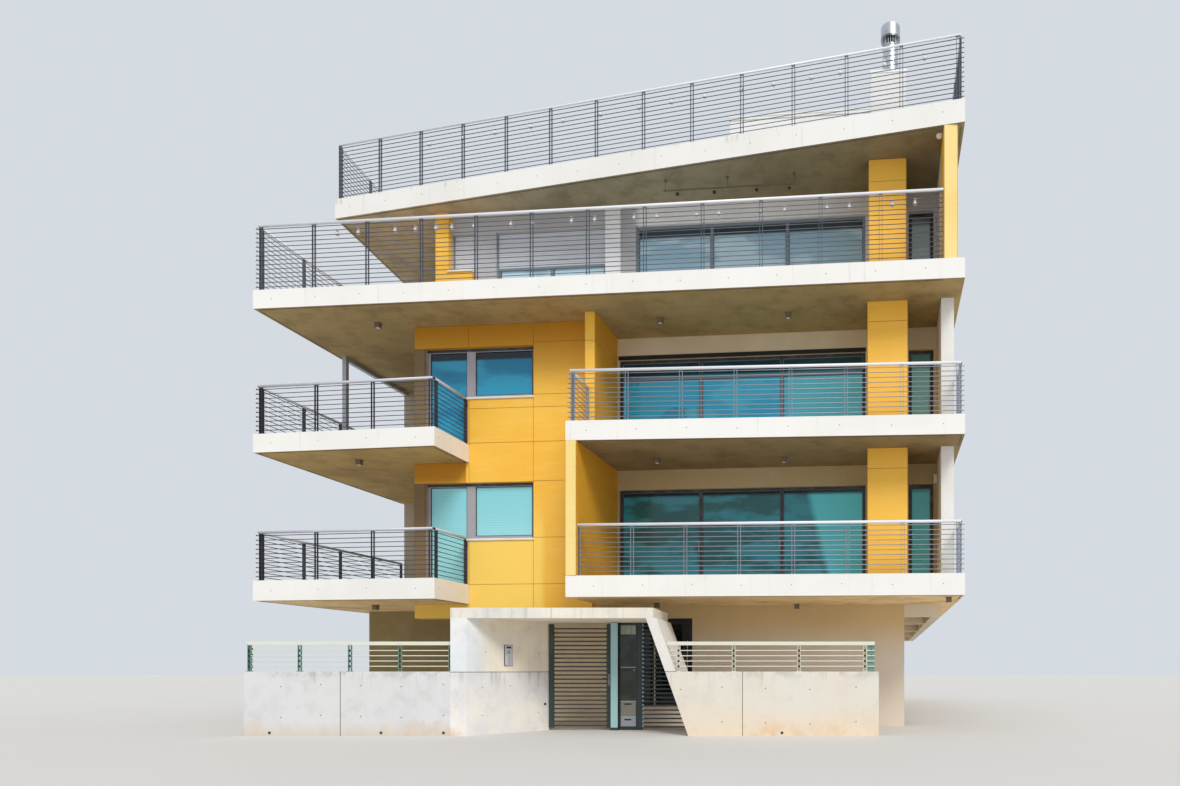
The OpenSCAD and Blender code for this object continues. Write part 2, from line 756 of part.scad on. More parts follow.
// Turns a piece drawn for a front face so that it looks out of a side
module on_right() {
    translate([wall_right, 0, 0]) rotate([0, 0, 90]) children();
}
module on_left() {
    translate([wall_left, 0, 0]) rotate([0, 0, -90]) mirror([1, 0, 0]) children();
}
module on_rear() {
    translate([0, wall_rear, 0]) mirror([0, 1, 0]) children();
}
function side_span_at(i) = [side_window_y(i) - side_window_w / 2,
    side_window_y(i) + side_window_w / 2];
function rear_span_at(i) = [rear_window_x(i) - side_window_w / 2,
    rear_window_x(i) + side_window_w / 2];
module side_glass() {
    y = frame_in + (frame_d - glass_t) / 2;
    color(glass_blue) placed() for (n = storeys) {
        for (i = [0:side_windows - 1]) {
            span = side_span_at(i);
            on_right() box(span[0], span[1], y, y + glass_t, sill_z(n), head_z(n));
            on_left() box(span[0], span[1], y, y + glass_t, sill_z(n), head_z(n));
        }
        for (i = [0:rear_windows - 1]) {
            span = rear_span_at(i);
            on_rear() box(span[0], span[1], y, y + glass_t, sill_z(n), head_z(n));
        }
    }
}

// One straight railing panel from a to b, standing on z
module railing(a, b, z, h, bars, step = post_step) {
    length = norm(b - a);
    turn = atan2(b[1] - a[1], b[0] - a[0]);
    bays = max(1, round(length / step));
    bar_step = (h - top_rail_t) / (bars + 0.5);
    translate([a[0], a[1], z]) rotate([0, 0, turn]) {
        for (i = [0:bays])
            translate([(length - post_w) * i / bays, -post_d / 2, 0])
                cube([post_w, post_d, h - top_rail_t / 2]);
        for (i = [1:bars])
            translate([0, -bar_t / 2, i * bar_step - bar_t])
                cube([length, bar_t, bar_t]);
        translate([0, -top_rail_w / 2, h - top_rail_t])
            cube([length, top_rail_w, top_rail_t]);
    }
}
// Gap between two panels that meet at a corner
corner_gap = 15;
// Gap between a slanting panel's end and the fin beside it
fin_gap = 3;
panel_back = top_rail_w / 2 + corner_gap;

roof_line = inset(roof_outline, rail_in);
module roof_railing_front() {
    color(steel_grey) placed()
        railing(roof_line[0], roof_line[1], roof_edge, roof_rail_h, bars_roof);
}
module roof_railing_sides() {
    color(steel_grey) placed() for (i = [1, 2, 3, 4]) {
        a = roof_line[i];
        b = roof_line[(i + 1) % 5];
        step = way(a, b) * panel_back;
        railing(a + step, i == 4 ? b - step : b, roof_edge, roof_rail_h, bars_roof);
    }
}
module terrace_railing() {
    z = edge_z(3);
    color(steel_grey) placed() {
        railing([x_left + rail_in, rail_in], [inner_right - corner_gap, rail_in], z,
            terrace_rail_h, bars_terrace, terrace_step);
        railing([x_left + rail_in, rail_in + panel_back], [x_left + rail_in, wing_d], z,
            terrace_rail_h, bars_terrace);
    }
}
module right_railing(n) {
    z = edge_z(n);
    x = x_right - rail_in;
    left_x = n == 1 ? fin_right + fin_gap : fin_left + rail_in;
    color(steel_grey) placed() {
        railing([left_x, right_front_y(left_x) + rail_in],
            [x, right_front_y(x) + rail_in], z, rail_h, bars_low);
        railing([x, rail_in + panel_back], [x, pier_y], z, rail_h, bars_low);
        if (n == 2)
            railing([left_x, right_front_y(left_x) + rail_in + panel_back],
                [left_x, fin_2_y], z, rail_h, bars_low);
    }
}
module right_railing_2() {
    right_railing(2);
}
module right_railing_1() {
    right_railing(1);
}
module left_railing(n) {
    z = edge_z(n);
    x = x_left + rail_in;
    x_end = balcony_right - rail_in;
    color(steel_grey) placed() {
        railing([x, left_front_y(x) + rail_in], [x_end, left_front_y(x_end) + rail_in], z,
            rail_h, bars_low);
        railing([x, left_front_y(x) + rail_in + panel_back], [x, wing_d], z, rail_h,
            bars_low);
        railing([x_end, left_front_y(x_end) + rail_in + panel_back], [x_end, yellow_y], z,
            rail_h, bars_low);
    }
}
module left_railing_2() {
    left_railing(2);
}
module left_railing_1() {
    left_railing(1);
}
module terrace_post() {
    x = wall_left + 20;
    color(steel_grey) placed() {
        box(x, x + steel_post_w, steel_post_y, steel_post_y + steel_post_w, floor_z(2),
            soffit[2] - steel_post_w);
        box(x, x + steel_post_w, steel_post_y, wing_d, soffit[2] - steel_post_w, soffit[2]);
    }
}

// Roof pieces
stack_right = pillar_3[1];
flue_mid = [stack_right - stack_w / 2 + flue_off, pillar_3_y + stack_d / 2];
stack_top = roof_deck + stack_h;
module chimney_stack() {
    color(white_render) placed() box(stack_right - stack_w, stack_right, pillar_3_y,
        pillar_3_y + stack_d, roof_deck, stack_top);
}
module flue() {
    struts = 4;
    strut = 20;
    color([0.85, 0.86, 0.88]) placed() translate([flue_mid[0], flue_mid[1], stack_top]) {
        difference() {
            cylinder(d = flue_d, h = flue_h, $fn = 48);
            translate([0, 0, cut]) cylinder(d = flue_d - 20, h = flue_h, $fn = 48);
        }
        for (i = [0:struts - 1]) rotate([0, 0, 45 + 360 * i / struts])
            translate([flue_d / 2 - strut, -strut / 2, flue_h - strut])
                cube([strut, strut, cap_gap + 2 * strut]);
        translate([0, 0, flue_h + cap_gap]) cylinder(d = cap_d, h = cap_h, $fn = 48);
    }
}
module stair_head() {
    x1 = pillar_left;
    x0 = x1 - stair_head_w;
    color(white_render) placed() difference() {
        box(x0, x1, stair_head_y, stair_head_y + stair_head_d, roof_deck,
            roof_deck + stair_head_h);
        box(x0 + wall_t, x1 - wall_t, stair_head_y + wall_t,
            stair_head_y + stair_head_d - wall_t, roof_deck - cut,
            roof_deck + stair_head_h - wall_t);
        box((x0 + x1 - door_w) / 2, (x0 + x1 + door_w) / 2,
            stair_head_y + stair_head_d / 2, stair_head_y + stair_head_d + cut,
            roof_deck - cut, roof_deck + stair_head_h - wall_t);
    }
}

// Street front
function blade_u(z) = blade_top_u + blade_lean * (canopy_z - z);
module boundary_wall_left() {
    color(concrete) on_street() box(street_left_u, panel_u, 0, fence_wall_t, 0, fence_wall_h);
}
module boundary_wall_right() {
    color(concrete) on_street() {
        upright([[blade_u(0), 0], [0, 0], [0, fence_wall_h],
            [blade_u(fence_wall_h), fence_wall_h]], 0, fence_wall_t);
        upright([[blade_u(0), 0], [blade_u(0) + blade_w, 0], [blade_u(canopy_z) + blade_w,
            canopy_z], [blade_u(canopy_z), canopy_z]], 0, gatehouse_d);
    }
}
gate_h = canopy_z - gate_top_gap;
gate_v = gatehouse_d - gate_t;
panel_end_u = panel_u + panel_face_w + panel_run;
gate_left_u = panel_end_u + leaf_gap;
gate_hinges = [gate_h * 0.15, gate_h * 0.8];
module gatehouse_wall() {
    slant = norm([panel_run, gatehouse_d]);
    back = panel_t * slant / gatehouse_d;
    color(concrete) on_street() {
        prism([[panel_u, 0], [panel_u + panel_face_w, 0],
            [panel_end_u, gatehouse_d], [panel_end_u - back, gatehouse_d],
            [panel_u + panel_face_w - back + panel_run * panel_t / gatehouse_d, panel_t],
            [panel_u, panel_t]], 0, canopy_z);
        for (z = gate_hinges) translate([gate_left_u, gatehouse_d, z]) jamb_knuckle();
    }
}
module gatehouse_canopy() {
    color(concrete) on_street() box(panel_u, canopy_right_u, 0, gatehouse_d, canopy_z,
        canopy_z + canopy_t);
}
gate_right_u = gate_left_u + gate_w;
post_u = gate_right_u + leaf_gap;
letter_u = post_u + gate_post_w;
screen_u = letter_u + letter_w;
module bars_between(u0, u1, v, t, z0, z1) {
    for (z = [z0:gate_step:z1 - gate_bar]) box(u0, u1, v, v + t, z, z + gate_bar);
}
// Bars that run from u0 up to the slanting face of the blade
module bars_to_blade(u0, v, t, z0, z1) {
    for (z = [z0:gate_step:z1 - gate_bar])
        box(u0, blade_u(z + gate_bar) - blade_gap, v, v + t, z, z + gate_bar);
}
module gate_posts() {
    v = gatehouse_d - gate_post_w;
    color(gate_green) on_street() {
        box(post_u, letter_u, v, gatehouse_d, 0, canopy_z);
        difference() {
            box(letter_u, screen_u, gate_v, gatehouse_d, 0, canopy_z);
            for (i = [0:3])
                box(letter_u + frame_w, screen_u - frame_w, gate_v - cut, gatehouse_d - cut,
                    gate_gap + frame_w + i * (gate_h - frame_w) / 4,
                    gate_gap + (i + 1) * (gate_h - frame_w) / 4);
        }
        box(screen_u, screen_u + gate_stile, gate_v, gatehouse_d, 0, canopy_z);
        bars_to_blade(screen_u, gate_v + gate_t / 4, gate_t / 2, gate_gap, gate_h);
    }
}
module gate_leaf() {
    color(gate_green) on_street() {
        box(gate_left_u, gate_left_u + gate_stile, gate_v, gatehouse_d, gate_gap, gate_h);
        box(gate_right_u - gate_stile, gate_right_u, gate_v, gatehouse_d, gate_gap, gate_h);
        bars_between(gate_left_u, gate_right_u, gate_v + gate_t / 4, gate_t / 2,
            gate_gap + gate_bar, gate_h);
        for (z = gate_hinges) translate([gate_left_u, gatehouse_d, z]) leaf_knuckle();
    }
}

// A fence on the boundary wall. Its bars start further left by lean for each unit of height.
module fence(u0, u1, bays, lean = 0) {
    length = u1 - u0;
    mid = fence_wall_t / 2;
    rise = (fence_top_z - fence_rail_h - fence_wall_h) / (fence_bars + 1);
    rail_z = fence_top_z - fence_rail_h;
    for (i = [0:bays])
        translate([u0 + (length - post_w) * i / bays, mid - post_d / 2, fence_wall_h])
            cube([post_w, post_d, fence_top_z - fence_wall_h - fence_rail_h / 2]);
    for (i = [1:fence_bars]) {
        z = fence_wall_h + i * rise - fence_bar / 2;
        box(u0 - lean * (z - fence_wall_h), u1, mid - fence_bar / 2, mid + fence_bar / 2,
            z, z + fence_bar);
    }
    box(u0 - lean * (rail_z - fence_wall_h), u1, mid - post_d / 2, mid + post_d / 2, rail_z,
        fence_top_z);
}
module fences() {
    color(fence_white) on_street() {
        fence(street_left_u, panel_u, fence_bays_left);
        fence(blade_u(fence_wall_h) + blade_w + blade_gap, 0, fence_bays_right, blade_lean);
    }
}
module entrance_door() {
    color(door_dark) placed() {
        box(entrance[0] + leaf_gap, entrance[1] - leaf_gap,
            recess_y + ground_wall_t - entrance_t, recess_y + ground_wall_t,
            lobby_z + leaf_gap, entrance_h - leaf_gap);
        for (z = entrance_hinges)
            translate([entrance[0] + leaf_gap, recess_y + ground_wall_t, z]) leaf_knuckle();
    }
}

roof_slab();
floor_slab_3();
floor_slab_2();
floor_slab_1();
left_balcony_2();
left_balcony_1();
yellow_wall_2();
yellow_wall_1();
yellow_fins();
recess_wall_1();
recess_wall_2();
recess_wall_3();
yellow_piers_3();
white_pier_3();
chimney_pillar();
right_walls();
left_walls();
rear_walls();
rear_yellow_walls();
loggia_walls();
loggia_side_walls();
ground_front_wall();
ground_left_wall();
lobby_side_walls();
lobby_floor();
parking_columns();
parking_beams();
front_frames_1();
front_frames_2();
front_frames_3();
front_glass_1();
front_glass_2();
front_glass_3();
roller_shutters();
side_glass();
roof_railing_front();
roof_railing_sides();
terrace_railing();
right_railing_2();
right_railing_1();
left_railing_2();
left_railing_1();
terrace_post();
chimney_stack();
flue();
stair_head();
boundary_wall_left();
boundary_wall_right();
gatehouse_wall();
gatehouse_canopy();
gate_posts();
gate_leaf();
fences();
entrance_door();
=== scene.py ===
"""Apartment block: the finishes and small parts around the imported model, in metres, Z up."""
import math

import bmesh
import bpy
from mathutils import Matrix, Vector


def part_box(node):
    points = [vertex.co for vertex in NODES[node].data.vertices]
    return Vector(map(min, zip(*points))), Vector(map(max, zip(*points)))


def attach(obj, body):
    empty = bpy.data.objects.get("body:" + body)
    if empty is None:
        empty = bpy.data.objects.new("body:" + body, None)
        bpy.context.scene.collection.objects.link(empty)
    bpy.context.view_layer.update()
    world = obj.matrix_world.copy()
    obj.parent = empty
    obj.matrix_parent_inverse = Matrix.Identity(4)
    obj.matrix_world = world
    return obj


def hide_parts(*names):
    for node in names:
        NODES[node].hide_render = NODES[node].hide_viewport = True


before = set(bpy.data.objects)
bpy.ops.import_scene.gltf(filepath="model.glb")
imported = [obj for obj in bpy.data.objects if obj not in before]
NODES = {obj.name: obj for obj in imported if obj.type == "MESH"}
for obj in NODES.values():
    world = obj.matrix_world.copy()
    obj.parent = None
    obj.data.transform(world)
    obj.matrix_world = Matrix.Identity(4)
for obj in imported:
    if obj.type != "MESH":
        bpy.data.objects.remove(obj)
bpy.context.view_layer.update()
HOUSE, GATE, DOOR = "building", "gate", "entrance"

# Levels and lines of the building, read from the model
SLABS = ("floor_slab_1", "floor_slab_2", "floor_slab_3", "roof_slab")
SLAB_T = 0.25
SOFFIT = [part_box(name)[0].z for name in SLABS]
EDGE = [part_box(name)[1].z for name in SLABS]
FLOOR = [z + SLAB_T for z in SOFFIT]
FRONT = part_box("floor_slab_3")[0].y
WALL_LEFT, WALL_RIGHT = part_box("left_walls")[0].x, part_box("right_walls")[1].x
WALL_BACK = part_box("rear_walls")[1].y
YELLOW_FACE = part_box("yellow_wall_2")[0].y
RECESS_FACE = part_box("recess_wall_2")[0].y
STREET_TURN = math.radians(5.15)
YELLOW_HEADS = (5.44, 8.46)
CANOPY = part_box("gatehouse_canopy")[0].z
FINISHES = {}


def srgb(red, green, blue):
    """A colour given as 0 to 255 display values."""
    def linear(value):
        value /= 255
        return value / 12.92 if value <= 0.04045 else ((value + 0.055) / 1.055) ** 2.4
    return (linear(red), linear(green), linear(blue), 1.0)


def every(low, high, step):
    """Places from low to high, about one step apart."""
    count = max(1, round((high - low) / step))
    return [low + (high - low) * i / count for i in range(count + 1)]


def placed(thing):
    """Puts an object in the scene."""
    bpy.context.scene.collection.objects.link(thing)
    return thing


def solids(name):
    """The corner points of each separate solid of a CAD node."""
    bm = bmesh.new()
    bm.from_mesh(NODES[name].data)
    bmesh.ops.remove_doubles(bm, verts=bm.verts, dist=1e-5)
    left = set(bm.verts)
    found = []
    while left:
        group, edge = [], [left.pop()]
        while edge:
            vert = edge.pop()
            group.append(vert.co.copy())
            for link in vert.link_edges:
                other = link.other_vert(vert)
                if other in left:
                    left.discard(other)
                    edge.append(other)
        found.append(group)
    bm.free()
    return sorted(found, key=lambda g: min((p.z, p.x, p.y) for p in g))


def sign(operation, reflected=False):
    """The method of Wire that stands for one sign, with its values swapped where reflected."""
    def method(self, other):
        return self.sum(operation, *((other, self) if reflected else (self, other)))
    return method


class Wire:
    """One output of a material's nodes, so that sums on it are written as sums."""

    def __init__(self, paint, socket):
        self.paint = paint
        self.socket = socket

    def sum(self, operation, *values, clamp=False):
        """One Math node."""
        return self.paint.node("Math", {"operation": operation, "use_clamp": clamp}, *values)

    __add__, __radd__ = sign("ADD"), sign("ADD", reflected=True)
    __sub__, __rsub__ = sign("SUBTRACT"), sign("SUBTRACT", reflected=True)
    __mul__, __rmul__ = sign("MULTIPLY"), sign("MULTIPLY", reflected=True)
    __truediv__, __mod__ = sign("DIVIDE"), sign("FLOORED_MODULO")
    __gt__, __lt__ = sign("GREATER_THAN"), sign("LESS_THAN")

    def __abs__(self):
        return self.sum("ABSOLUTE", self)

    def clamped(self):
        """The same value, kept between 0 and 1."""
        return self.sum("ADD", self, 0.0, clamp=True)

    def between(self, low, high):
        """0 below low, 1 above high and smooth in between."""
        return self.paint.node("MapRange", {"interpolation_type": "SMOOTHSTEP"},
                               self, low, high, 0.0, 1.0)


class Paint:
    """A material with one Principled shader, built with a few short calls."""

    def __init__(self, name, **constants):
        self.material = bpy.data.materials.new(name)
        self.material.use_nodes = True
        self.tree = self.material.node_tree
        FINISHES[name] = self.material
        self.shader = self.tree.nodes["Principled BSDF"]
        for socket, value in constants.items():
            self.shader.inputs[socket.replace("_", " ")].default_value = value
        self.place = self.node("TexCoord", {}, out="Object")
        self.x, self.y, self.z = self.node("SeparateXYZ", {}, self.place, every=True)
        normal = self.node("NewGeometry", {}, out="Normal")
        self.facing = self.node("SeparateXYZ", {}, normal, every=True)

    def node(self, kind, settings, *inputs, out=0, every=False, **named):
        """Adds a node. Settings go first, then its sockets take values or wires."""
        node = self.tree.nodes.new("ShaderNode" + kind)
        for key, value in settings.items():
            setattr(node, key, value)
        free = [s for s in node.inputs if s.enabled]
        pairs = list(zip(free, inputs))
        pairs += [(node.inputs[key.replace("_", " ")], v) for key, v in named.items()]
        for socket, value in pairs:
            if isinstance(value, Wire):
                self.tree.links.new(value.socket, socket)
            elif value is not None:
                socket.default_value = value
        if every:
            return [Wire(self, s) for s in node.outputs]
        return Wire(self, node.outputs[out] if isinstance(out, str)
                    else [s for s in node.outputs if s.enabled][out])

    def noise(self, scale, detail=3.0, roughness=0.55, stretch=None):
        """Values about 0.5. Stretch multiplies the place along each axis."""
        place = self.place
        if stretch:
            place = self.node("VectorMath", {"operation": "MULTIPLY"}, place, stretch)
        return self.node("TexNoise", {}, place, Scale=scale, Detail=detail,
                         Roughness=roughness)

    def mix(self, mask, first, second, way="MIX"):
        """Mixes two colours: wires, three display values, or four linear factors."""
        colors = (srgb(*color) if isinstance(color, tuple) and len(color) == 3 else color
                  for color in (first, second))
        return self.node("Mix", {"data_type": "RGBA", "blend_type": way}, mask, *colors)

    def coats(self, color, *coats):
        """Lays coats over a colour: each is a mask, a colour and maybe a way of mixing."""
        for mask, coat, *way in coats:
            color = self.mix(mask, color, coat, *way)
        return color

    def finish(self, color, roughness=None, height=None, distance=0.0, strength=1.0):
        """Feeds the shader with its colour, roughness and bump, and gives the material."""
        normal = None
        if height is not None:
            normal = self.node("Bump", {}, Strength=strength, Distance=distance, Height=height)
        for socket, wire in (("Base Color", color), ("Roughness", roughness),
                             ("Normal", normal)):
            if wire is not None:
                self.tree.links.new(wire.socket, self.shader.inputs[socket])
        return self.material


def lines(value, pitch, width):
    """1 on lines of that width, one every pitch."""
    return abs((value + pitch / 2) % pitch - pitch / 2) < width / 2


# Painted shade and bounce light on the soffits: a tone for each slab, and one for the left
# balcony's soffit
SOFFIT_SHADE_TINTS = ((252, 220, 164), (157, 135, 96), (178, 154, 106), (173, 164, 139))
LEFT_SOFFIT_SHADE = (197, 167, 108)
TIE_STEP = 0.97
COPING = 1.24
# The rows of side and rear windows, and where dust runs from the ends of their sills
SIDE_WINDOWS_START, SIDE_WINDOW_STEP, REAR_WINDOW_STEP = FRONT + 5.1, 3.125, 3.665
RUN_INNER, RUN_OUTER = 0.56, 0.74


def slab_concrete(name, tint):
    """Painted cast concrete. The soffits are bare concrete painted with shade and bounce light,
    in a tone of their own on each storey, lighter at the left and darker at the right under the
    roof slab; the side and rear edges carry plugged tie holes."""
    paint = Paint(name, Specular_IOR_Level=0.35)
    patches = paint.noise(0.7, 4.0)
    blotch = paint.noise(2.6, 5.0, 0.65)
    grain = paint.noise(55.0, 2.0)
    drips = paint.noise(7.0, 4.0, 0.6, (1.0, 1.0, 0.05))
    streaks = paint.noise(3.4, 5.0, 0.65, (0.25, 1.0, 1.0))
    dirt = paint.noise(3.6, 5.0, 0.7, (1.0, 1.0, 0.35)).between(0.55, 0.68)
    dirt = dirt * (paint.z - EDGE[3] + 0.2).between(0.0, 0.16) * patches.between(0.4, 0.55)
    side, rear = abs(paint.facing[0]) > 0.7, paint.facing[1] > 0.7
    along = abs((paint.y * side + paint.x * rear) % TIE_STEP - TIE_STEP / 2)
    height = 1.0
    for low, high in zip(SOFFIT, EDGE):
        gap = abs(paint.z - (low * 0.48 + high * 0.52))
        height = gap.sum("MINIMUM", gap, height)
    plug = (along * along + height * height < 0.00013) * (side + rear)
    base = paint.coats(
        tint, (patches.between(0.35, 0.75) * 0.6, (233, 229, 221)),
        (drips.between(0.58, 0.8) * 0.3, (190, 182, 168)),
        (blotch.between(0.62, 0.8) * 0.2, (214, 200, 178)),
        (dirt * 0.5, (166, 162, 152)), (plug, (150, 142, 130)))
    under = paint.facing[2] < -0.7
    boards = lines(paint.y, 1.25, 0.008) * under
    roof = paint.z > SOFFIT[3] - 0.1
    # The soffit colour: painted shade and bounce light, over the concrete's mottling and board
    # marks
    bare = paint.coats(
        SOFFIT_SHADE_TINTS[0],
        *((paint.z > SOFFIT[level] - 0.1, SOFFIT_SHADE_TINTS[level]) for level in (1, 2, 3)),
        ((paint.x < -3.0) * (abs(paint.z - SOFFIT[1]) < 0.1), LEFT_SOFFIT_SHADE),
        (roof * (1.0 - (paint.x + 3.2).between(-1.5, 1.5)), (214, 191, 156)),
        (roof * (paint.x - 2.5).between(-2.0, 2.0), (152, 140, 108)),
        (blotch.between(0.45, 0.7) * 0.6, (208, 208, 196), "MULTIPLY"),
        (patches.between(0.45, 0.7) * 0.6, (206, 200, 190), "MULTIPLY"),
        (streaks.between(0.55, 0.75) * 0.5, (206, 212, 196), "MULTIPLY"),
        (boards * 0.35, (88, 78, 60)))
    return paint.finish(paint.mix(under, base, bare), 0.7 + grain * 0.25,
                        grain * 0.5 + patches * 0.8 - boards - plug * 0.6, 0.003)


def street_concrete(name, tint, damp_share, gatehouse=False):
    """Fair-faced concrete: damp under the coping, rusty runs, an orange or earthy splash at the
    foot and fine pits. The gatehouse is warmer under its canopy."""
    paint = Paint(name, Specular_IOR_Level=0.35)
    patches = paint.noise(0.9, 5.0, 0.6)
    cloud = paint.noise(3.2, 5.0, 0.65)
    grain = paint.noise(60.0, 2.0)
    pits = paint.noise(130.0, 1.0).between(0.68, 0.74)
    drips = paint.noise(9.0, 4.0, 0.6, (1.0, 1.0, 0.06)) * (abs(paint.facing[2]) < 0.7)
    lilac = paint.noise(1.7, 4.0, 0.6, (1.0, 1.0, 0.5)).between(0.56, 0.7)
    right = (paint.x - 0.5).between(-1.0, 2.0)
    below = paint.z < COPING
    foot = (1.0 - paint.z / 0.7).clamped() * right
    rust = paint.noise(1.9, 5.0, 0.7, (1.0, 1.0, 0.12)).between(0.6, 0.68) * right
    rust = rust * below * cloud.between(0.4, 0.6)
    runs = drips.between(0.5, 0.68) * (paint.z - COPING + 0.5).between(0.0, 0.5)
    runs = runs * below * patches.between(0.42, 0.6)
    damp = (paint.z - COPING + 0.16).between(0.0, 0.12) * (paint.z < COPING + 0.01)
    damp = damp * cloud.between(0.45, 0.62)
    here = paint.noise(0.35, 2.0).between(0.42, 0.6)
    splash = (1.0 - paint.z / 0.34).clamped() * cloud.between(0.36, 0.62) * here
    base = paint.coats(
        tint, (patches.between(0.35, 0.7), paint.mix(right, (224, 222, 215), (226, 219, 205))),
        (cloud.between(0.48, 0.72) * 0.45, (204, 199, 190)), (lilac * 0.3, (206, 206, 212)),
        (drips.between(0.6, 0.8) * 0.3, (182, 174, 158)), (right * 0.35, (228, 217, 196)),
        (foot * 0.6, (238, 214, 180)), (rust * 0.45, (222, 180, 128)),
        (runs * 0.5, (176, 164, 140)), (pits * 0.4, (140, 134, 122)),
        (damp * damp_share, (168, 166, 160)), (splash * 0.75, (226, 184, 136)),
        ((paint.z > CANOPY) * drips.between(0.46, 0.74) * 0.35, (168, 164, 156)),
        ((paint.facing[2] > 0.7) * cloud.between(0.4, 0.7) * 0.5, (186, 182, 172)))
    if gatehouse:
        gain = paint.mix((paint.x + 1.95).between(-0.1, 0.1), (1.04, 1.1, 1.2, 1.0),
                         (1.12, 1.06, 0.98, 1.0))
        gain = paint.mix(paint.z > COPING, (1.0, 1.02, 1.09, 1.0), gain)
        where = paint.z < CANOPY + 0.001
    else:
        earthy = (1.0 - paint.z / 0.28).clamped() * (1.0 - right)
        base = paint.mix(earthy * 0.75, base, (216, 200, 176))
        gain = paint.mix(right, (0.95, 0.965, 1.02, 1.0), (1.08, 1.1, 1.18, 1.0))
        where = (1.0 - right + (paint.z - COPING - 0.1).between(-0.15, 0.15)).clamped()
    return paint.finish(paint.mix(where, base, paint.mix(1.0, base, gain, "MULTIPLY")),
                        0.74 + grain * 0.22, grain * 0.5 + cloud * 0.7 - pits * 0.7, 0.003)


def sanded(paint, base, *swells):
    """The matt and grainy surface of all renders, with the swells that are given."""
    grain = paint.noise(180.0, 2.0)
    return paint.finish(base, 0.82 + grain * 0.15, sum(swells, grain), 0.002)


def render_coat(name, tint, shade):
    """Fine sand render with a soft cloudy colour and faint trowel marks."""
    paint = Paint(name, Specular_IOR_Level=0.3)
    cloud = paint.noise(0.9, 3.0)
    streak = paint.noise(4.0, 4.0, 0.6, (1.0, 1.0, 0.08))
    trowel = paint.noise(9.0, 3.0, 0.6, (1.0, 1.0, 1.6))
    base = paint.coats(tint, (cloud.between(0.35, 0.7), shade),
                       (streak.between(0.6, 0.8) * 0.14, (170, 162, 148)),
                       (trowel.between(0.58, 0.75) * 0.12, (250, 248, 242)))
    return sanded(paint, base, cloud * 0.6, trowel * 0.5)


def side_render(name, tint, shade, sills):
    """Sand render of the side and rear walls, with dust runs below the ends of the sills, dust
    over the slab edges, and painted shade, a browner tone, inside the loggias."""
    paint = Paint(name, Specular_IOR_Level=0.3)
    cloud = paint.noise(0.9, 3.0)
    trowel = paint.noise(9.0, 3.0, 0.6, (1.0, 1.0, 1.6))
    runs = paint.noise(11.0, 4.0, 0.6, (1.0, 1.0, 0.05))
    side = abs(paint.facing[0]) > 0.5
    by_side = abs((paint.y - SIDE_WINDOWS_START) % SIDE_WINDOW_STEP - SIDE_WINDOW_STEP / 2)
    by_side = by_side * side * (paint.y > SIDE_WINDOWS_START)
    by_rear = abs(paint.x % REAR_WINDOW_STEP - REAR_WINDOW_STEP / 2)
    along = by_side + by_rear * (1.0 - side)
    ends = (along - RUN_INNER).between(-0.05, 0.05)
    ends = ends * (1.0 - (along - RUN_OUTER).between(-0.06, 0.06))
    below = sum((1.0 - (sill - paint.z).between(0.0, 1.1)) * (paint.z < sill) for sill in sills)
    dusty = (ends * 0.6 + 0.04) * below.clamped() * runs.between(0.4, 0.62)
    band = sum((1.0 - (paint.z - edge).between(0.0, 0.3)) * (paint.z > edge)
               for edge in EDGE[:3])
    base = paint.coats(tint, (cloud.between(0.35, 0.7), shade),
                       (trowel.between(0.58, 0.75) * 0.12, (250, 248, 242)),
                       (dusty, (172, 164, 150)),
                       (band * runs.between(0.4, 0.75) * 0.16, (190, 184, 172)),
                       # Painted shade: a browner tone on the street-facing faces inside the
                       # loggias
                       ((paint.facing[1] < -0.7) * (paint.x < 0.0), (182, 170, 150)))
    return sanded(paint, base, cloud * 0.6, trowel * 0.5)


def two_tone_render(name, first, second, where, dust, share, way="MULTIPLY"):
    """Sand render in two tones; where takes the paint and gives the second tone's mask."""
    paint = Paint(name, Specular_IOR_Level=0.3)
    cloud = paint.noise(1.2, 4.0)
    base = paint.coats(first, (where(paint), second),
                       (cloud.between(0.4, 0.7) * share, dust, way))
    return sanded(paint, base, cloud * 0.6)


def cladding_panel(name, tint, deep, pale, lit_and_shaded=False):
    """Coloured fibre cement board: satin, with a faint brushed grain along its length. For the
    main yellow walls the front boards carry painted light, paler near the ground, and painted
    shade, darker in colour under the slabs."""
    paint = Paint(name, Specular_IOR_Level=0.4)
    brushed = paint.noise(16.0, 4.0, 0.6, (0.12, 0.12, 1.6))
    grain = paint.noise(260.0, 2.0)
    base = paint.coats(tint, (paint.noise(0.6, 3.0).between(0.3, 0.75), deep),
                       ((brushed - 0.5).between(0.0, 0.2) * 0.22, pale),
                       (paint.noise(2.2, 5.0, 0.65).between(0.62, 0.82) * 0.22, (206, 140, 34)))
    if lit_and_shaded:
        front = (paint.y < YELLOW_FACE + 0.3) * (1.0 - (paint.x + 1.6).between(-0.08, 0.08))
        # Painted light: the front boards grow paler towards the ground
        foot = 1.0 - (paint.z - 4.6).between(-0.5, 0.5)
        # Painted shade: darker colour under slab 3 and under the left balcony
        shade_under_slab = (paint.z - 7.4).between(0.0, 1.5)
        under = (paint.z - 5.2).between(0.0, 0.4) * (paint.z < 6.2) * (paint.x < -3.39)
        wall = abs(paint.y - YELLOW_FACE) < 0.1
        base = paint.coats(base, (front * foot * 0.85, (255, 217, 104)),
                           (wall * (shade_under_slab + under).clamped() * 0.94, (192, 130, 18)))
    return paint.finish(base, 0.5 + brushed * 0.14, grain * 0.6 + brushed * 0.6, 0.0014)


def coated_metal(name, tint, worn, metallic=0.0, rough=0.38):
    """Powder-coated steel or aluminium with slight dust and chalky edges of colour."""
    paint = Paint(name, Metallic=metallic, Specular_IOR_Level=0.5)
    dust = paint.noise(3.0, 5.0)
    fleck = paint.noise(420.0, 1.0)
    return paint.finish(paint.mix(dust.between(0.45, 0.75) * 0.25, tint, worn),
                        rough + dust * 0.14 + fleck * 0.06, fleck, 0.0003, 0.6)


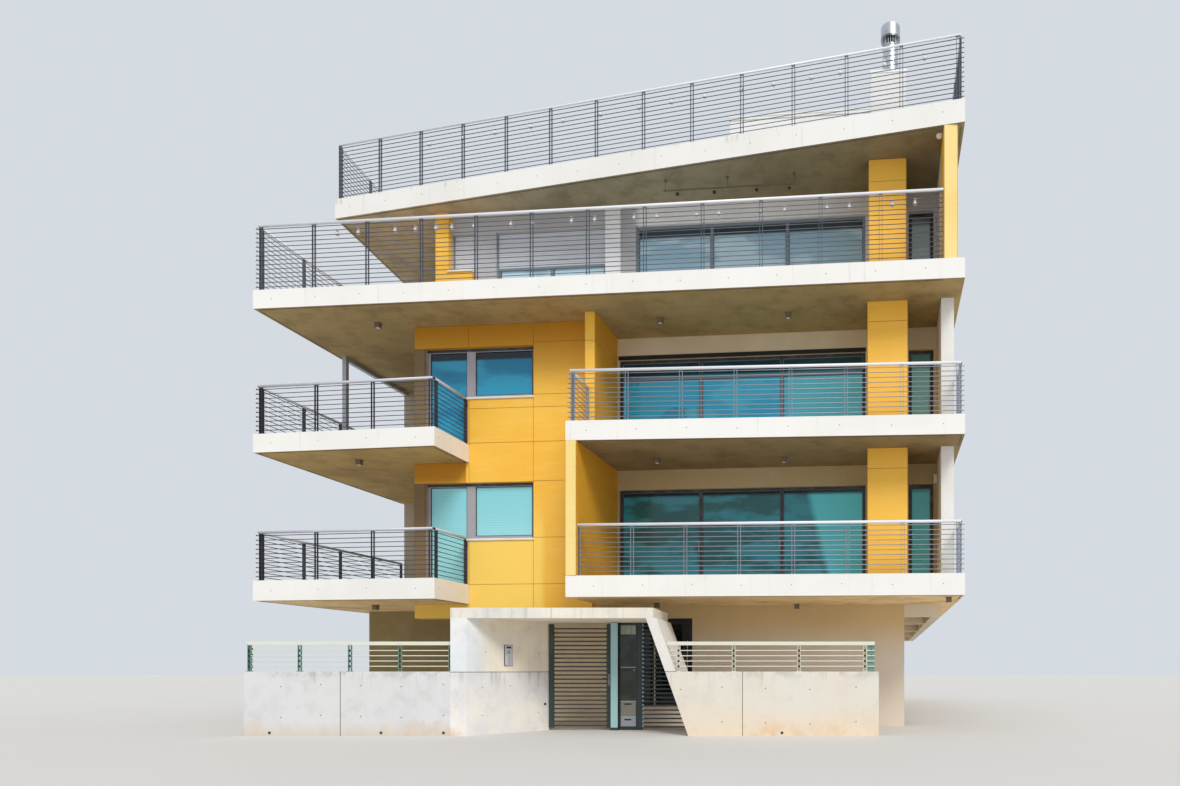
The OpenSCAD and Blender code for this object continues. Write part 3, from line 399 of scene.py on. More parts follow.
def window_metal(name, light, dark):
    """Light grey in the yellow walls at the left, but for the heads, which stay anthracite as
    painted shade under the lintels; bluish grey on the wide fronts of storeys 2 and 3, and
    anthracite elsewhere."""
    paint = Paint(name, Metallic=0.3, Specular_IOR_Level=0.5)
    dust = paint.noise(4.0, 5.0)
    fleck = paint.noise(420.0, 1.0)
    left = (paint.x < -1.9) * (paint.y < YELLOW_FACE + 0.5)
    # Painted shade: the heads of the left frames stay dark
    for z in YELLOW_HEADS:
        left = left * (1.0 - (paint.z > z - 0.061) * (paint.z < z + 0.01))
    recess = paint.y < RECESS_FACE + 1.0
    bars = (paint.z > FLOOR[1] + 0.07) * (paint.z < FLOOR[1] + 1.95) * (paint.x > -0.15)
    top = (paint.z > FLOOR[2] + 0.07) * (abs(paint.x) < 5.5)
    base = paint.coats(dark, (left, light), (bars * (paint.x < 5.4) * recess, (136, 150, 170)),
                       (top * recess, (132, 146, 156)),
                       (dust.between(0.45, 0.75) * 0.25, (150, 150, 150)))
    return paint.finish(base, 0.32 + dust * 0.14 + fleck * 0.06, fleck, 0.0003, 0.6)


def brushed_steel(name, tint, along):
    """Stainless sheet brushed along one axis."""
    paint = Paint(name, Metallic=1.0)
    hair = paint.noise(240.0, 3.0, 0.6, along)
    smear = paint.noise(2.2, 4.0)
    return paint.finish(paint.mix(smear.between(0.4, 0.7) * 0.35, tint, (140, 146, 152)),
                        0.22 + hair * 0.16 + smear * 0.1, hair, 0.0004, 0.7)


def door_pane(name, tint, deep, cloudy):
    """Dark tinted glass with a faint cloudy reflection and a film of dust."""
    paint = Paint(name, Roughness=0.04, Specular_IOR_Level=0.5)
    cloud = paint.noise(0.9, 3.0, 0.5, (1.0, 1.0, 2.5))
    film = paint.noise(6.0, 5.0)
    base = paint.coats(tint, (cloud.between(0.35, 0.7), deep),
                       (cloud.between(0.56, 0.66) * 0.4, cloudy),
                       (film.between(0.6, 0.8) * 0.12, (190, 196, 192)))
    return paint.finish(base, 0.04 + film * 0.08)


def house_glass(name):
    """Solar glass, its tones painted with reflection, light and shade: teal on storey 1, blue on
    2 and grey on 3, mottled with painted reflection, lighter as painted light towards the open
    right corner and in the narrow pane, with a painted shadow band at the head. The panes in the
    left yellow walls are deep blue above, with a painted shadow band at the top, and a pale cyan
    below."""
    paint = Paint(name, Roughness=0.04, Specular_IOR_Level=0.5, Alpha=0.94)
    reflection_shapes = paint.noise(0.5, 3.0, 0.5, (1.0, 1.0, 2.6))
    soft = reflection_shapes.between(0.44, 0.52)
    shade = paint.noise(1.3, 4.0, 0.55, (0.7, 1.0, 1.8))
    film = paint.noise(6.0, 5.0)
    # Painted light: storey 1's panes brighten towards the open right end
    open_end_light = (paint.x - 4.28 + (paint.z - 4.9) * 0.25).between(-0.1, 0.1)
    narrow = paint.x > 6.3
    # Storey 2: blue mottled with painted reflection and shade, lighter as painted light towards
    # the right and in the narrow pane
    blue = paint.coats((72, 214, 255), (soft, (50, 198, 248)),
                       (shade.between(0.58, 0.66) * 0.35, (30, 96, 116)),
                       ((paint.x - 3.6).between(-0.3, 0.3) * 0.6, (124, 242, 255)),
                       (narrow, (160, 246, 255)))
    # Storey 1: teal mottled with painted reflection and shade
    teal = paint.coats((62, 162, 184), (shade.between(0.44, 0.6), (42, 112, 116)),
                       (open_end_light, (100, 236, 255)))
    # Side and rear panes: grey-blue, mottled with painted reflection
    outer = ((abs(paint.x) > 7.06) + (paint.y > WALL_BACK - 0.5)).clamped()
    # Painted shadow: a dark band under the head of each storey's panes
    heads = (FLOOR[0] + 2.3, FLOOR[1] + 1.95, FLOOR[2] + 2.1)
    head = sum((paint.z - z).between(-0.04, 0.04) * (paint.z < z + 1.0) for z in heads)
    left = (paint.x < -1.0) * (paint.y < YELLOW_FACE + 0.5)
    # Left storey-2 panes: deep blue mottled with painted reflection, with a painted shadow band
    # at the top
    upper = paint.coats((22, 132, 176), (reflection_shapes.between(0.42, 0.56), (48, 168, 208)),
                        ((paint.z - 8.22).between(-0.03, 0.03), (8, 34, 44)))
    slat = lines(paint.z, 0.055, 0.014) * 0.35 + shade.between(0.55, 0.7) * 0.12
    pale = paint.coats((168, 232, 236), ((paint.z - 4.5).between(-0.8, 0.8), (146, 222, 232)),
                       (slat, (104, 196, 210)))
    base = paint.coats(
        teal, (paint.z > FLOOR[1], blue),
        # Storey 3: pale grey-blue, mottled with painted reflection
        (paint.z > FLOOR[2], paint.mix(soft, (206, 237, 252), (166, 205, 226))),
        (outer, paint.mix(soft, (84, 128, 146), (58, 96, 112))),
        (head * 0.92 * (1.0 - narrow * 0.4) * (1.0 - outer), (14, 22, 22)),
        (left, paint.mix(paint.z < FLOOR[1], upper, pale)),
        (film.between(0.6, 0.8) * 0.06, (190, 200, 200)))
    return paint.finish(base, 0.04 + film * 0.07)


# Heights where the letter boxes change: below the top field, the lower and the lowest box
BOX_FIELDS = (2.01, 0.605, 0.28)


def box_pane(name):
    """Glass over the letter boxes: dark in the middle, paler in the top field, and paler in the
    bottom fields as painted reflection.
    """
    paint = Paint(name, Roughness=0.06, Specular_IOR_Level=0.45)
    cloud = paint.noise(2.4, 4.0)
    top, low, foot = BOX_FIELDS
    base = paint.coats((34, 37, 31), (cloud.between(0.45, 0.6) * 0.6, (60, 67, 50)),
                       # The bottom fields are paler as painted reflection
                       (paint.z > top, (148, 154, 140)), (paint.z < low, (132, 128, 118)),
                       (paint.z < foot, (156, 156, 164)))
    return paint.finish(base, 0.06 + cloud * 0.1)


def floor_tiles(name, tint, shade, pitch):
    """Square stone tiles with thin joints, for balconies and terraces."""
    paint = Paint(name, Specular_IOR_Level=0.4)
    joint = (lines(paint.x, pitch, 0.006) + lines(paint.y, pitch, 0.006)).clamped()
    vein = paint.noise(14.0, 4.0)
    base = paint.coats(tint, (paint.noise(1.6, 5.0).between(0.35, 0.7), shade),
                       (vein.between(0.6, 0.75) * 0.25, (150, 140, 124)),
                       (joint, (120, 112, 102)))
    return paint.finish(base, 0.5 + vein * 0.2 + joint * 0.2, 1.0 - joint, 0.002)


def roof_membrane(name):
    """Pale roof felt in metre-wide strips."""
    paint = Paint(name, Specular_IOR_Level=0.3)
    seam = lines(paint.x, 1.0, 0.02)
    grit = paint.noise(300.0, 1.0)
    base = paint.coats((196, 194, 188), (paint.noise(0.5, 4.0).between(0.35, 0.7),
                                         (172, 169, 162)),
                       (paint.noise(0.9, 5.0, 0.65).between(0.58, 0.72) * 0.22, (150, 144, 132)),
                       (seam * 0.5, (120, 118, 112)))
    return paint.finish(base, 0.82 + grit * 0.1, grit * 0.3 + seam, 0.002)


def over(height, soft=0.05):
    """The mask of what lies above a height."""
    return lambda paint: (paint.z - height).between(-soft, soft)


def wide_glass_end(paint):
    """The mask of storey 3's recess wall over its wide glass, left white there, out of the grey
    painted shade, and fading halfway back to it towards the right.
    """
    return (paint.x - 0.2).between(-0.1, 0.1) * (1.0 - (paint.x - 4.6).between(-2.0, 2.0) * 0.5)


slab_concrete("white_concrete", (242, 240, 235))
street_concrete("street_concrete", (226, 224, 219), 0.35)
street_concrete("gatehouse_concrete", (242, 234, 218), 0.0, gatehouse=True)
side_render("side_render", (242, 240, 235), (233, 230, 223),
            sorted({round(min(p.z for p in pane), 2) for pane in solids("side_glass")}))
for name, tint, shade in (
        ("joint_shadow", (118, 108, 92), (96, 88, 76)),
        ("white_render", (242, 241, 238), (234, 232, 228)),
        # The recess walls of storeys 1 and 2 are white render, tinted warm beige as painted
        # shade, darker on storey 1
        ("recess_render", (228, 213, 184), (218, 202, 170)),
        ("lower_recess_render", (200, 179, 138), (190, 168, 126)),
        # The white pier: a brighter white, painted light
        ("pier_render", (254, 254, 255), (248, 249, 252)),
        # The loggia walls' render, darker and browner as painted shade; the lobby floor takes it
        # too
        ("grey_render", (180, 165, 142), (166, 150, 126)),
        ("side_beige_render", (234, 223, 202), (224, 211, 187)),
        ("sill_stone", (240, 238, 232), (226, 220, 208))):
    render_coat(name, tint, shade)
# The loggia wall's end: dark brown render, painted shade
two_tone_render("loggia_end_shade_render", (132, 110, 84), (132, 113, 84), over(FLOOR[1] - 0.2),
                (236, 230, 220), 0.3)
# The ground front wall: browner above 2 m, painted shade under the slab
two_tone_render("beige_render", (238, 224, 208), (222, 196, 148), over(2.0, 0.5),
                (236, 230, 220), 0.3)
# Storey 3's recess wall: grey as painted shade, white over the wide glass
two_tone_render("top_recess_shade_render", (190, 189, 192), (254, 254, 255), wide_glass_end,
                (226, 224, 222), 0.2)
# The ground left wall: dark at its left end as painted shade, light towards the right
two_tone_render("left_ground_shade_render", (146, 130, 90), (252, 240, 214),
                lambda paint: (paint.x + 3.2).between(-0.6, 0.6), (196, 178, 146), 0.25, "MIX")
for name, tint, deep, pale in (
        ("yellow_cladding", (252, 198, 78), (247, 187, 60), (255, 218, 122)),
        # Lit and shaded copies of the cladding: paler fronts and a brighter pillar, painted
        # light; deeper fin sides, painted shade
        ("yellow_front", (247, 220, 142), (244, 208, 120), (252, 232, 170)),
        ("yellow_pillar", (255, 199, 77), (253, 190, 64), (255, 215, 116)),
        ("yellow_return", (230, 168, 44), (220, 154, 34), (244, 190, 74)),
        # The backing: a dark ochre that paints the shade in the board joints
        ("yellow_backing", (150, 100, 22), (134, 88, 20), (166, 116, 40))):
    cladding_panel(name, tint, deep, pale, lit_and_shaded=name == "yellow_cladding")
for name, *finish in (
        ("hole_plug", (150, 142, 130), (112, 104, 92), 0.0, 0.8),
        ("window_sash_metal", (120, 126, 130), (150, 152, 156), 0.3),
        ("rail_metal", (98, 103, 116), (146, 150, 158), 0.4, 0.34),
        # Shaded and lit copies of the rail metal, painted shade and painted light, for the left
        # and right railings
        ("dark_rail_metal", (58, 60, 66), (92, 94, 100), 0.3, 0.36),
        ("light_rail_metal", (156, 162, 174), (186, 190, 194), 0.4, 0.34),
        ("rail_top_metal", (242, 243, 248), (228, 228, 226), 0.05, 0.3),
        ("dark_top_rail", (202, 203, 214), (212, 212, 214), 0.1, 0.3),
        ("post_metal", (176, 180, 190), (198, 200, 200), 0.3, 0.4),
        ("shutter_slats", (216, 218, 224), (192, 194, 200), 0.0, 0.45),
        ("gate_metal", (62, 56, 51), (92, 86, 78), 0.1, 0.45),
        ("gate_post_metal", (50, 62, 61), (84, 96, 94), 0.2, 0.4),
        ("gate_post_face", (158, 198, 198), (178, 208, 206), 0.0, 0.4),
        ("fence_metal", (222, 224, 208), (198, 200, 182), 0.0, 0.45),
        ("fence_end_metal", (112, 150, 138), (140, 168, 156), 0.1),
        ("door_metal", (46, 46, 50), (90, 90, 92), 0.2, 0.35),
        ("entry_phone_metal", (206, 208, 216), (186, 186, 190), 0.3, 0.3),
        ("grey_door", (150, 152, 154), (170, 170, 168), 0.1, 0.45),
        ("dark_rubber", (26, 27, 30), (50, 50, 52), 0.0, 0.6),
        ("lamp_body", (122, 110, 92), (100, 92, 80), 0.2, 0.45),
        ("lamp_glass", (214, 214, 212), (190, 190, 188), 0.0, 0.3),
        ("white_fitting", (236, 236, 232), (212, 210, 204), 0.0, 0.4),
        ("blind_slats", (214, 236, 236), (196, 218, 220), 0.0, 0.55)):
    coated_metal(name, *finish)
window_metal("window_metal", (176, 172, 178), (62, 66, 74))
brushed_steel("flue_steel", (206, 208, 212), (1.0, 1.0, 0.02))
brushed_steel("handle_steel", (196, 196, 196), (1.0, 1.0, 0.05))
brushed_steel("lever_steel", (120, 122, 124), (1.0, 1.0, 0.05))
house_glass("teal_glass")
box_pane("letter_box_pane")
door_pane("door_glass", (26, 28, 30), (16, 18, 20), (52, 54, 54))
floor_tiles("balcony_tiles", (206, 194, 174), (190, 176, 154), 0.4)
roof_membrane("roof_felt")

# The finish of each node, by the start of its name; the longest start that fits counts
NODE_LOOKS = {
    "roof_slab": "white_concrete", "floor_slab_": "white_concrete",
    "left_balcony_": "white_concrete", "yellow_": "yellow_cladding",
    "rear_yellow_walls": "yellow_cladding", "chimney_pillar": "yellow_cladding",
    "recess_wall_1": "lower_recess_render", "recess_wall_2": "recess_render",
    "recess_wall_3": "top_recess_shade_render", "white_pier_3": "pier_render",
    "right_walls": "side_render", "left_walls": "side_render", "rear_walls": "side_render",
    "chimney_stack": "white_render", "stair_head": "white_render", "loggia_": "grey_render",
    "lobby_floor": "grey_render", "ground_left_wall": "left_ground_shade_render",
    "ground_front_wall": "beige_render", "lobby_side_walls": "side_beige_render",
    "parking_": "side_beige_render", "front_frames_": "window_metal",
    "front_glass_": "teal_glass", "side_glass": "teal_glass", "roller_shutters": "shutter_slats",
    "terrace_post": "post_metal", "flue": "flue_steel", "boundary_wall_": "street_concrete",
    "gatehouse_": "gatehouse_concrete", "gate_posts": "gate_post_metal",
    "gate_leaf": "gate_metal", "fences": "fence_metal", "entrance_door": "door_metal",
    "roof_railing_": "rail_metal", "terrace_railing": "rail_metal",
    "right_railing_": "rail_metal", "left_railing_": "rail_metal",
}


def dress_model():
    """Gives every node of the model its finish."""
    for name, node in NODES.items():
        start = max((key for key in NODE_LOOKS if name.startswith(key)), key=len)
        node.data.materials.clear()
        node.data.materials.append(FINISHES[NODE_LOOKS[start]])


class Shape:
    """Boxes and rods gathered into one mesh. Points are given in the shape's own frame."""

    def __init__(self, origin=(0, 0, 0), turn=0.0):
        self.bm = bmesh.new()
        self.move(origin, turn)

    def move(self, origin, turn=0.0):
        """Places the frame that the next points are given in."""
        self.frame = Matrix.Translation(origin) @ Matrix.Rotation(turn, 4, "Z")

    def box(self, low, high, look=0):
        """A box between two corners."""
        low, high = Vector(low), Vector(high)
        size = Matrix.Diagonal((*(high - low), 1.0))
        made = bmesh.ops.create_cube(
            self.bm, size=1.0, matrix=self.frame @ Matrix.Translation((low + high) / 2) @ size)
        self._mark(made["verts"], look)

    def block(self, x, y, half_x, half_y, z0, z1, look=0):
        """A box about a point of the plan."""
        self.box((x - half_x, y - half_y, z0), (x + half_x, y + half_y, z1), look)

    def cover(self, low, high, out, z0, z1, look=0):
        """A box around two corners, that stands out from them by a width."""
        self.box((low.x - out, low.y - out, z0), (high.x + out, high.y + out, z1), look)

    def rod(self, start, end, radius, sides=8, look=0, radius_end=None):
        """A round rod, which may taper to another radius at its end."""
        start, end = Vector(start), Vector(end)
        along = end - start
        turn = along.to_track_quat("Z", "Y").to_matrix().to_4x4()
        made = bmesh.ops.create_cone(
            self.bm, cap_ends=True, segments=sides, radius1=radius,
            radius2=radius if radius_end is None else radius_end, depth=along.length,
            matrix=self.frame @ Matrix.Translation((start + end) / 2) @ turn)
        self._mark(made["verts"], look, smooth=sides > 7)

    def pin(self, x, z, y0, y1, *sizes):
        """A rod straight out of the wall plane."""
        self.rod((x, y0, z), (x, y1, z), *sizes)

    def pole(self, x, y, z0, z1, *sizes, **more):
        """An upright rod."""
        self.rod((x, y, z0), (x, y, z1), *sizes, **more)

    def ball(self, middle, radius, flatten=1.0, look=0):
        """A ball, which may be flatter or taller than it is wide."""
        made = bmesh.ops.create_uvsphere(
            self.bm, u_segments=14, v_segments=9, radius=radius,
            matrix=self.frame @ Matrix.Translation(middle)
            @ Matrix.Diagonal((1.0, 1.0, flatten, 1.0)))
        self._mark(made["verts"], look, smooth=True)

    def plate(self, outline, low_z, high_z):
        """A flat plate with any outline."""
        low, high = [[self.bm.verts.new(self.frame @ Vector((x, y, z))) for x, y in outline]
                     for z in (low_z, high_z)]
        self.bm.faces.new(low[::-1])
        self.bm.faces.new(high)
        for i in range(len(outline)):
            self.bm.faces.new((low[i - 1], low[i], high[i], high[i - 1]))

    def ring(self, x0, x1, y0, y1, z0, z1, bar, look=0):
        """An upright frame of four bars between two planes."""
        self.box((x0, y0, z0), (x0 + bar, y1, z1), look)
        self.box((x1 - bar, y0, z0), (x1, y1, z1), look)
        self.box((x0 + bar, y0, z0), (x1 - bar, y1, z0 + bar), look)
        self.box((x0 + bar, y0, z1 - bar), (x1 - bar, y1, z1), look)

    @staticmethod
    def _mark(verts, look, smooth=False):
        """Gives new faces their finish and their shading."""
        for face in {f for v in verts for f in v.link_faces}:
            face.material_index = look
            face.smooth = smooth and len(face.verts) == 4

    def made(self, name, *looks):
        """The gathered mesh as an object of the scene."""
        mesh = bpy.data.meshes.new(name)
        bmesh.ops.recalc_face_normals(self.bm, faces=self.bm.faces)
        self.bm.to_mesh(mesh)
        self.bm.free()
        for look in looks:
            mesh.materials.append(FINISHES[look])
        return placed(bpy.data.objects.new(name, mesh))

    def done(self, name, *looks, slot, body=HOUSE, stands_for=(), bevel=0.0):
        """Makes the piece with its finishes, hangs it on the body it rides on and hides the parts
        of the model that it stands for.
        """
        piece = self.made(name, *looks)
        if bevel:
            edge = piece.modifiers.new("edges", "BEVEL")
            edge.width, edge.segments, edge.limit_method = bevel, 2, "ANGLE"
        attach(piece, body)
        if stands_for:
            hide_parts(*stands_for)


def corners(points):
    """Lowest and highest corner of a group of points."""
    return [Vector([pick(p[i] for p in points) for i in range(3)]) for pick in (min, max)]


def middle_line(points):
    """The ends of a thin upright panel's middle line, at its foot, and its height."""
    low, high = corners(points)
    top = [p for p in points if p.z > high.z - 0.002]
    start = min(top, key=lambda p: (p.x + p.y * 0.01))
    far = sorted(top, key=lambda p: (p - start).length)
    a, b = (start + far[1]) / 2, (far[-1] + far[-2]) / 2
    if abs(b.x - a.x) < 0.5 and b.y < a.y:
        a, b = b, a
    return Vector((a.x, a.y, low.z)), Vector((b.x, b.y, low.z)), high.z - low.z


# For each railing: its bars, the step of its posts and the slab that carries it
RAILINGS = {
    "roof_railing_front": (13, 1.15, 3), "roof_railing_sides": (13, 1.15, 3),
    "terrace_railing": (14, 1.2, 2), "right_railing_2": (10, 1.15, 1),
    "right_railing_1": (10, 1.15, 0), "left_railing_2": (10, 1.15, 1),
    "left_railing_1": (10, 1.15, 0),
}
# The left railings take darker copies of the rail metal, painted shade, and the right railings
# lighter bars, painted light
BAR_LOOKS = {"left": ("dark_rail_metal", "dark_top_rail"),
             "right": ("light_rail_metal", "rail_top_metal")}
BAR_R, TUBE_R, ROOF_TUBE_R = 0.008, 0.03, 0.022
SPUR, FRONT_SPUR = 0.1, 0.062
CORNERS = (-7.4, 7.4, -3.39, -0.42)
RAIL_INSET = 0.07


def railing(name, bars, step):
    """Twin flat posts, round bars and a tube on top, along each panel of the node. At a corner
    the bars run on to those of the next side."""
    shape = Shape()
    for panel in solids(name):
        start, end, height = middle_line(panel)
        length = (end - start).length
        shape.move(start, math.atan2(end.y - start.y, end.x - start.x))
        bays = max(1, round(length / step))
        tube = ROOF_TUBE_R if name.startswith("roof") else TUBE_R
        rail_z = height - tube
        if abs(end.x - start.x) < 0.5:
            first, last = SPUR if start.y < FRONT + 1.0 else 0.0, 0.0
        else:
            first, last = (FRONT_SPUR if min(abs(point.x - x) for x in CORNERS) < 0.1 else 0.0
                           for point in (start, end))
        post_0, post_1 = (0.06 if first else 0.034), length - (0.06 if last else 0.034)
        for i in range(bays + 1):
            x = post_0 + (post_1 - post_0) * i / bays
            for side in (-0.029, 0.029):
                shape.block(x + side, 0, 0.004, 0.02, 0.008, rail_z)
            shape.block(x, 0, 0.055, 0.04, 0.0, 0.008)
            for bolt in (-0.042, 0.042):
                shape.pole(x + bolt, -0.03, 0.006, 0.018, 0.006, 6)
            shape.block(x, 0, 0.025, 0.008, rail_z - 0.04, rail_z)
        for i in range(1, bars + 1):
            z = i * (height - 0.04) / (bars + 0.5) - BAR_R
            shape.rod((-first, 0, z), (length + last, 0, z), BAR_R)
        shape.rod((0, 0, rail_z), (length, 0, rail_z), tube, 16, 1)
        for x in (0, length - 0.004):
            shape.rod((x, 0, rail_z), (x + 0.004, 0, rail_z), tube - 0.004, 16)
    looks = BAR_LOOKS.get(name.split("_")[0], ("rail_metal", "rail_top_metal"))
    shape.done(name + "_bars", *looks, slot="rail_metal", stands_for=(name,))


# Places of the small round lamps along the two long front railings
TERRACE_LAMPS = (-5.64, -5.17, -4.35, -3.9, -3.45, -3.1, -2.62, -1.82, -1.35, -0.52, -0.03, 0.8,
                 1.27, 2.1, 2.56, 3.4, 3.9, 4.75, 5.2, 6.05, 6.5)
ROOF_LAMPS = (-4.6, -3.7, -2.9, -2.0, -1.2, -0.3, 0.6, 1.35, 2.1, 2.9, 3.6, 4.4, 5.0, 5.9, 6.7)


def railing_lamps():
    """Small bulbs that hang behind the railing bars, about two in each bay."""
    shape = Shape()
    for name, places, drop, bulb, look in (("terrace_railing", TERRACE_LAMPS, 0.23, 0.038, 0),
                                           ("roof_railing_front", ROOF_LAMPS, 0.3, 0.046, 2)):
        for start, end, height in map(middle_line, solids(name)):
            for x in places:
                share = (x - start.x) / max(end.x - start.x, 0.01)
                if end.x - start.x > 1.0 and 0.01 < share < 0.99:
                    y, z = start.lerp(end, share).y + 0.035, start.z + height - drop
                    shape.pole(x, y, z, z + 0.06, 0.022, 12, 1, radius_end=0.03)
                    shape.pin(x, z + 0.06, y - 0.03, y + 0.012, 0.005, 6, 1)
                    shape.ball((x, y, z - 0.03), bulb, 1.1, look)
    shape.done("railing_lamps", "lamp_glass", "lamp_glass", "white_fitting", slot="rail_metal")


def edge_marks():
    """Tie holes along the slab edges, and a dark strip under them that paints the shadow of a
    drip, parallel to the railings.
    """
    shape = Shape()
    inside = Vector((0, FRONT + 9.0, 0))
    for name, (_, _, level) in RAILINGS.items():
        foot, band = SOFFIT[level], EDGE[level] - SOFFIT[level]
        for start, end, _ in map(middle_line, solids(name)):
            along, length = (end - start).normalized(), (end - start).length
            out = Vector((along.y, -along.x, 0))
            side = 1.0 if out.dot((start + end) / 2 - inside) > 0 else -1.0
            shape.move(start.xy.to_3d() + out * side * RAIL_INSET, math.atan2(along.y, along.x))
            holes = every(0.35, length - 0.35, TIE_STEP) if out.y * side < -0.5 else ()
            for i, x in enumerate(holes):
                z = foot + band * (0.52 + 0.03 * ((i * 7) % 3 - 1))
                shape.pin(x, z, 0.004 * side, -0.0015 * side, 0.011, 10)
            # A dark strip under the slab edge, painted shadow of the drip
            shape.box((0.0, side * 0.05, foot - 0.006), (length, side * 0.068, foot + 0.002), 1)
    shape.done("edge_tie_holes", "hole_plug", "joint_shadow", slot="concrete")


BOARD_T, BOARD_GAP = 0.007, 0.009
COLUMN_X, JOINT_X, WINDOW_X, DOOR_X, LOGGIA_X = -1.834, -3.32, -3.35, -4.35, -4.6
BOARD_FOOT, WINDOW_FEET = 2.42, (4.15, 7.3)
COLUMN_CUTS = (3.174, 4.205, 5.455, 6.324, 7.09, 7.37, 8.527)
PILLAR_CUTS = (5.465, 8.527, 11.54)
REAR_PANEL_HALF = 3.132


class Cladding(Shape):
    """Boards screwed on a wall plane, with open joints between them."""

    def boards(self, x0, x1, *cuts, look=0):
        """Boards between x0 and x1, one between each two heights."""
        gap = BOARD_GAP / 2
        for low, high in zip(cuts, cuts[1:]):
            self.box((x0 + gap, -BOARD_T, low + gap), (x1 - gap, -0.001, high - gap), look)
        # The backing sheet behind the boards, a dark ochre, is painted shade for the open joints
        self.box((x0, -0.0015, cuts[0]), (x1, 0.0, cuts[-1]), 2)


def yellow_boards():
    """The boards on the yellow walls, fins, pillar and end column."""
    house = Cladding((0, YELLOW_FACE, 0))
    fin_left, fin_right = (corner.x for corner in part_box("yellow_fins"))
    for x0, x1, *cuts in (
            (COLUMN_X, fin_left, BOARD_FOOT, *COLUMN_CUTS, SOFFIT[2]),
            (LOGGIA_X, JOINT_X - 0.01, YELLOW_HEADS[1], SOFFIT[2]),
            (JOINT_X - 0.01, COLUMN_X, YELLOW_HEADS[1], SOFFIT[2]),
            (JOINT_X, COLUMN_X, YELLOW_HEADS[0], *COLUMN_CUTS[3:5], WINDOW_FEET[1]),
            (JOINT_X, COLUMN_X, BOARD_FOOT, COLUMN_CUTS[0], WINDOW_FEET[0]),
            (LOGGIA_X, JOINT_X, YELLOW_HEADS[0], SOFFIT[1]),
            (LOGGIA_X, JOINT_X, BOARD_FOOT, SOFFIT[0]),
            (WINDOW_X, JOINT_X, EDGE[1], WINDOW_FEET[1]),
            (WINDOW_X, JOINT_X, EDGE[0], WINDOW_FEET[0])):
        house.boards(x0, x1, *cuts)
    # The storey-1 fin's front boards are paler, painted light; the fins' right sides are a deeper
    # yellow, painted shade
    for front, cuts, look in ((-0.28, (EDGE[0], SOFFIT[1]), 1),
                              (0.77, (EDGE[1], 8.33, SOFFIT[2]), 0)):
        house.move((0, FRONT + front, 0))
        house.boards(fin_left, fin_right, *cuts, look=look)
        house.move((fin_right, FRONT, 0), math.pi / 2)
        house.boards(front, 2.2, *cuts, look=4)
        house.move((fin_left, YELLOW_FACE, 0), -math.pi / 2)
        house.boards(0.0, 1.2 - front, *cuts)
    # The pillar fronts are a brighter yellow, painted light; the end column's front and right
    # side are paler, painted light
    posts = [(corners(part), (cut,), 3, 0)
             for part, cut in zip(solids("chimney_pillar"), PILLAR_CUTS)]
    piers = map(corners, solids("yellow_piers_3"))
    posts.append((max(piers, key=lambda pier: pier[0].x), (), 1, 1))
    for (low, high), cuts, front, right in posts:
        for x, y, turn, width, look in ((low.x, low.y, 0, high.x - low.x, front),
                                        (high.x, low.y, math.pi / 2, high.y - low.y, right),
                                        (low.x, high.y, -math.pi / 2, high.y - low.y, 0)):
            house.move((x, y, 0), turn)
            house.boards(0.0, width, low.z, *cuts, high.z, look=look)
    house.move((0, WALL_BACK, 0), math.pi)
    for low, high in map(corners, solids("side_glass")):
        if 0.0 < low.x and high.x < 3.0:
            storey = sum(low.z > z for z in EDGE) - 1
            cuts = EDGE[storey], low.z, high.z, SOFFIT[storey + 1]
            house.boards(-low.x, low.x, *cuts)
            for side in (-1, 1):
                for x0, x1, *part in ((high.x, REAR_PANEL_HALF, *cuts),
                                      (low.x, high.x, *cuts[:2]), (low.x, high.x, *cuts[2:])):
                    house.boards(*sorted((side * x0, side * x1)), *part)
    house.done("yellow_boards", "yellow_cladding", "yellow_front", "yellow_backing",
               "yellow_pillar", "yellow_return", slot="yellow_panel", bevel=0.002)
    jamb = Shape((0, YELLOW_FACE, 0))
    # The loggia wall's end, in the dark brown render that paints its shade
    for low, high in zip(EDGE, YELLOW_HEADS):
        jamb.box((LOGGIA_X - 0.006, -0.003, low), (DOOR_X, 0.0, high))
        jamb.box((LOGGIA_X - 0.006, 0.0, low), (LOGGIA_X, 0.25, high))
    jamb.done("loggia_wall_end", "loggia_end_shade_render", slot="grey_render")


SMALL_SILL_Z = 10.6


def stone_sills():
    """Projecting sills with a drip under the two windows of the yellow wall, and a plain one
    under storey 3's small window."""
    shape = Shape((0, YELLOW_FACE, 0))
    for floor in FLOOR[:2]:
        z = floor + 1.2
        shape.box((-3.37, -0.035, z - 0.04), (-1.81, 0.09, z + 0.004))
        shape.box((-3.36, -0.03, z - 0.046), (-1.82, -0.018, z - 0.04))
    shape.move((0, RECESS_FACE - 0.17, 0))
    shape.box((-4.3, -0.03, SMALL_SILL_Z), (-3.69, 0.26, SMALL_SILL_Z + 0.042))
    shape.done("window_sills", "sill_stone", slot="white_render", bevel=0.003)


def sash(shape, low, high, bar, gasket=0.012, gasket_look=1):
    """Sash bars and a gasket on the street side of one pane, and a handle on a tall one."""
    x0, x1, z0, z1 = low.x, high.x, low.z, high.z
    face, handle = low.y, x1 - 0.02
    shape.ring(x0, x1, face - 0.022, face + 0.036, z0, z1, bar)
    shape.ring(x0 + bar, x1 - bar, face - 0.014, face + 0.03, z0 + bar, z1 - bar, gasket,
               gasket_look)
    if z1 - z0 > 1.7:
        shape.box((handle - 0.012, face - 0.03, z0 + 0.95),
                  (handle + 0.012, face - 0.022, z0 + 1.17), 2)
        shape.pin(handle, z0 + 1.0, face - 0.03, face - 0.055, 0.006, 8, 2)
        shape.pole(handle, face - 0.055, z0 + 0.97, z0 + 1.15, 0.008, 8, 2)


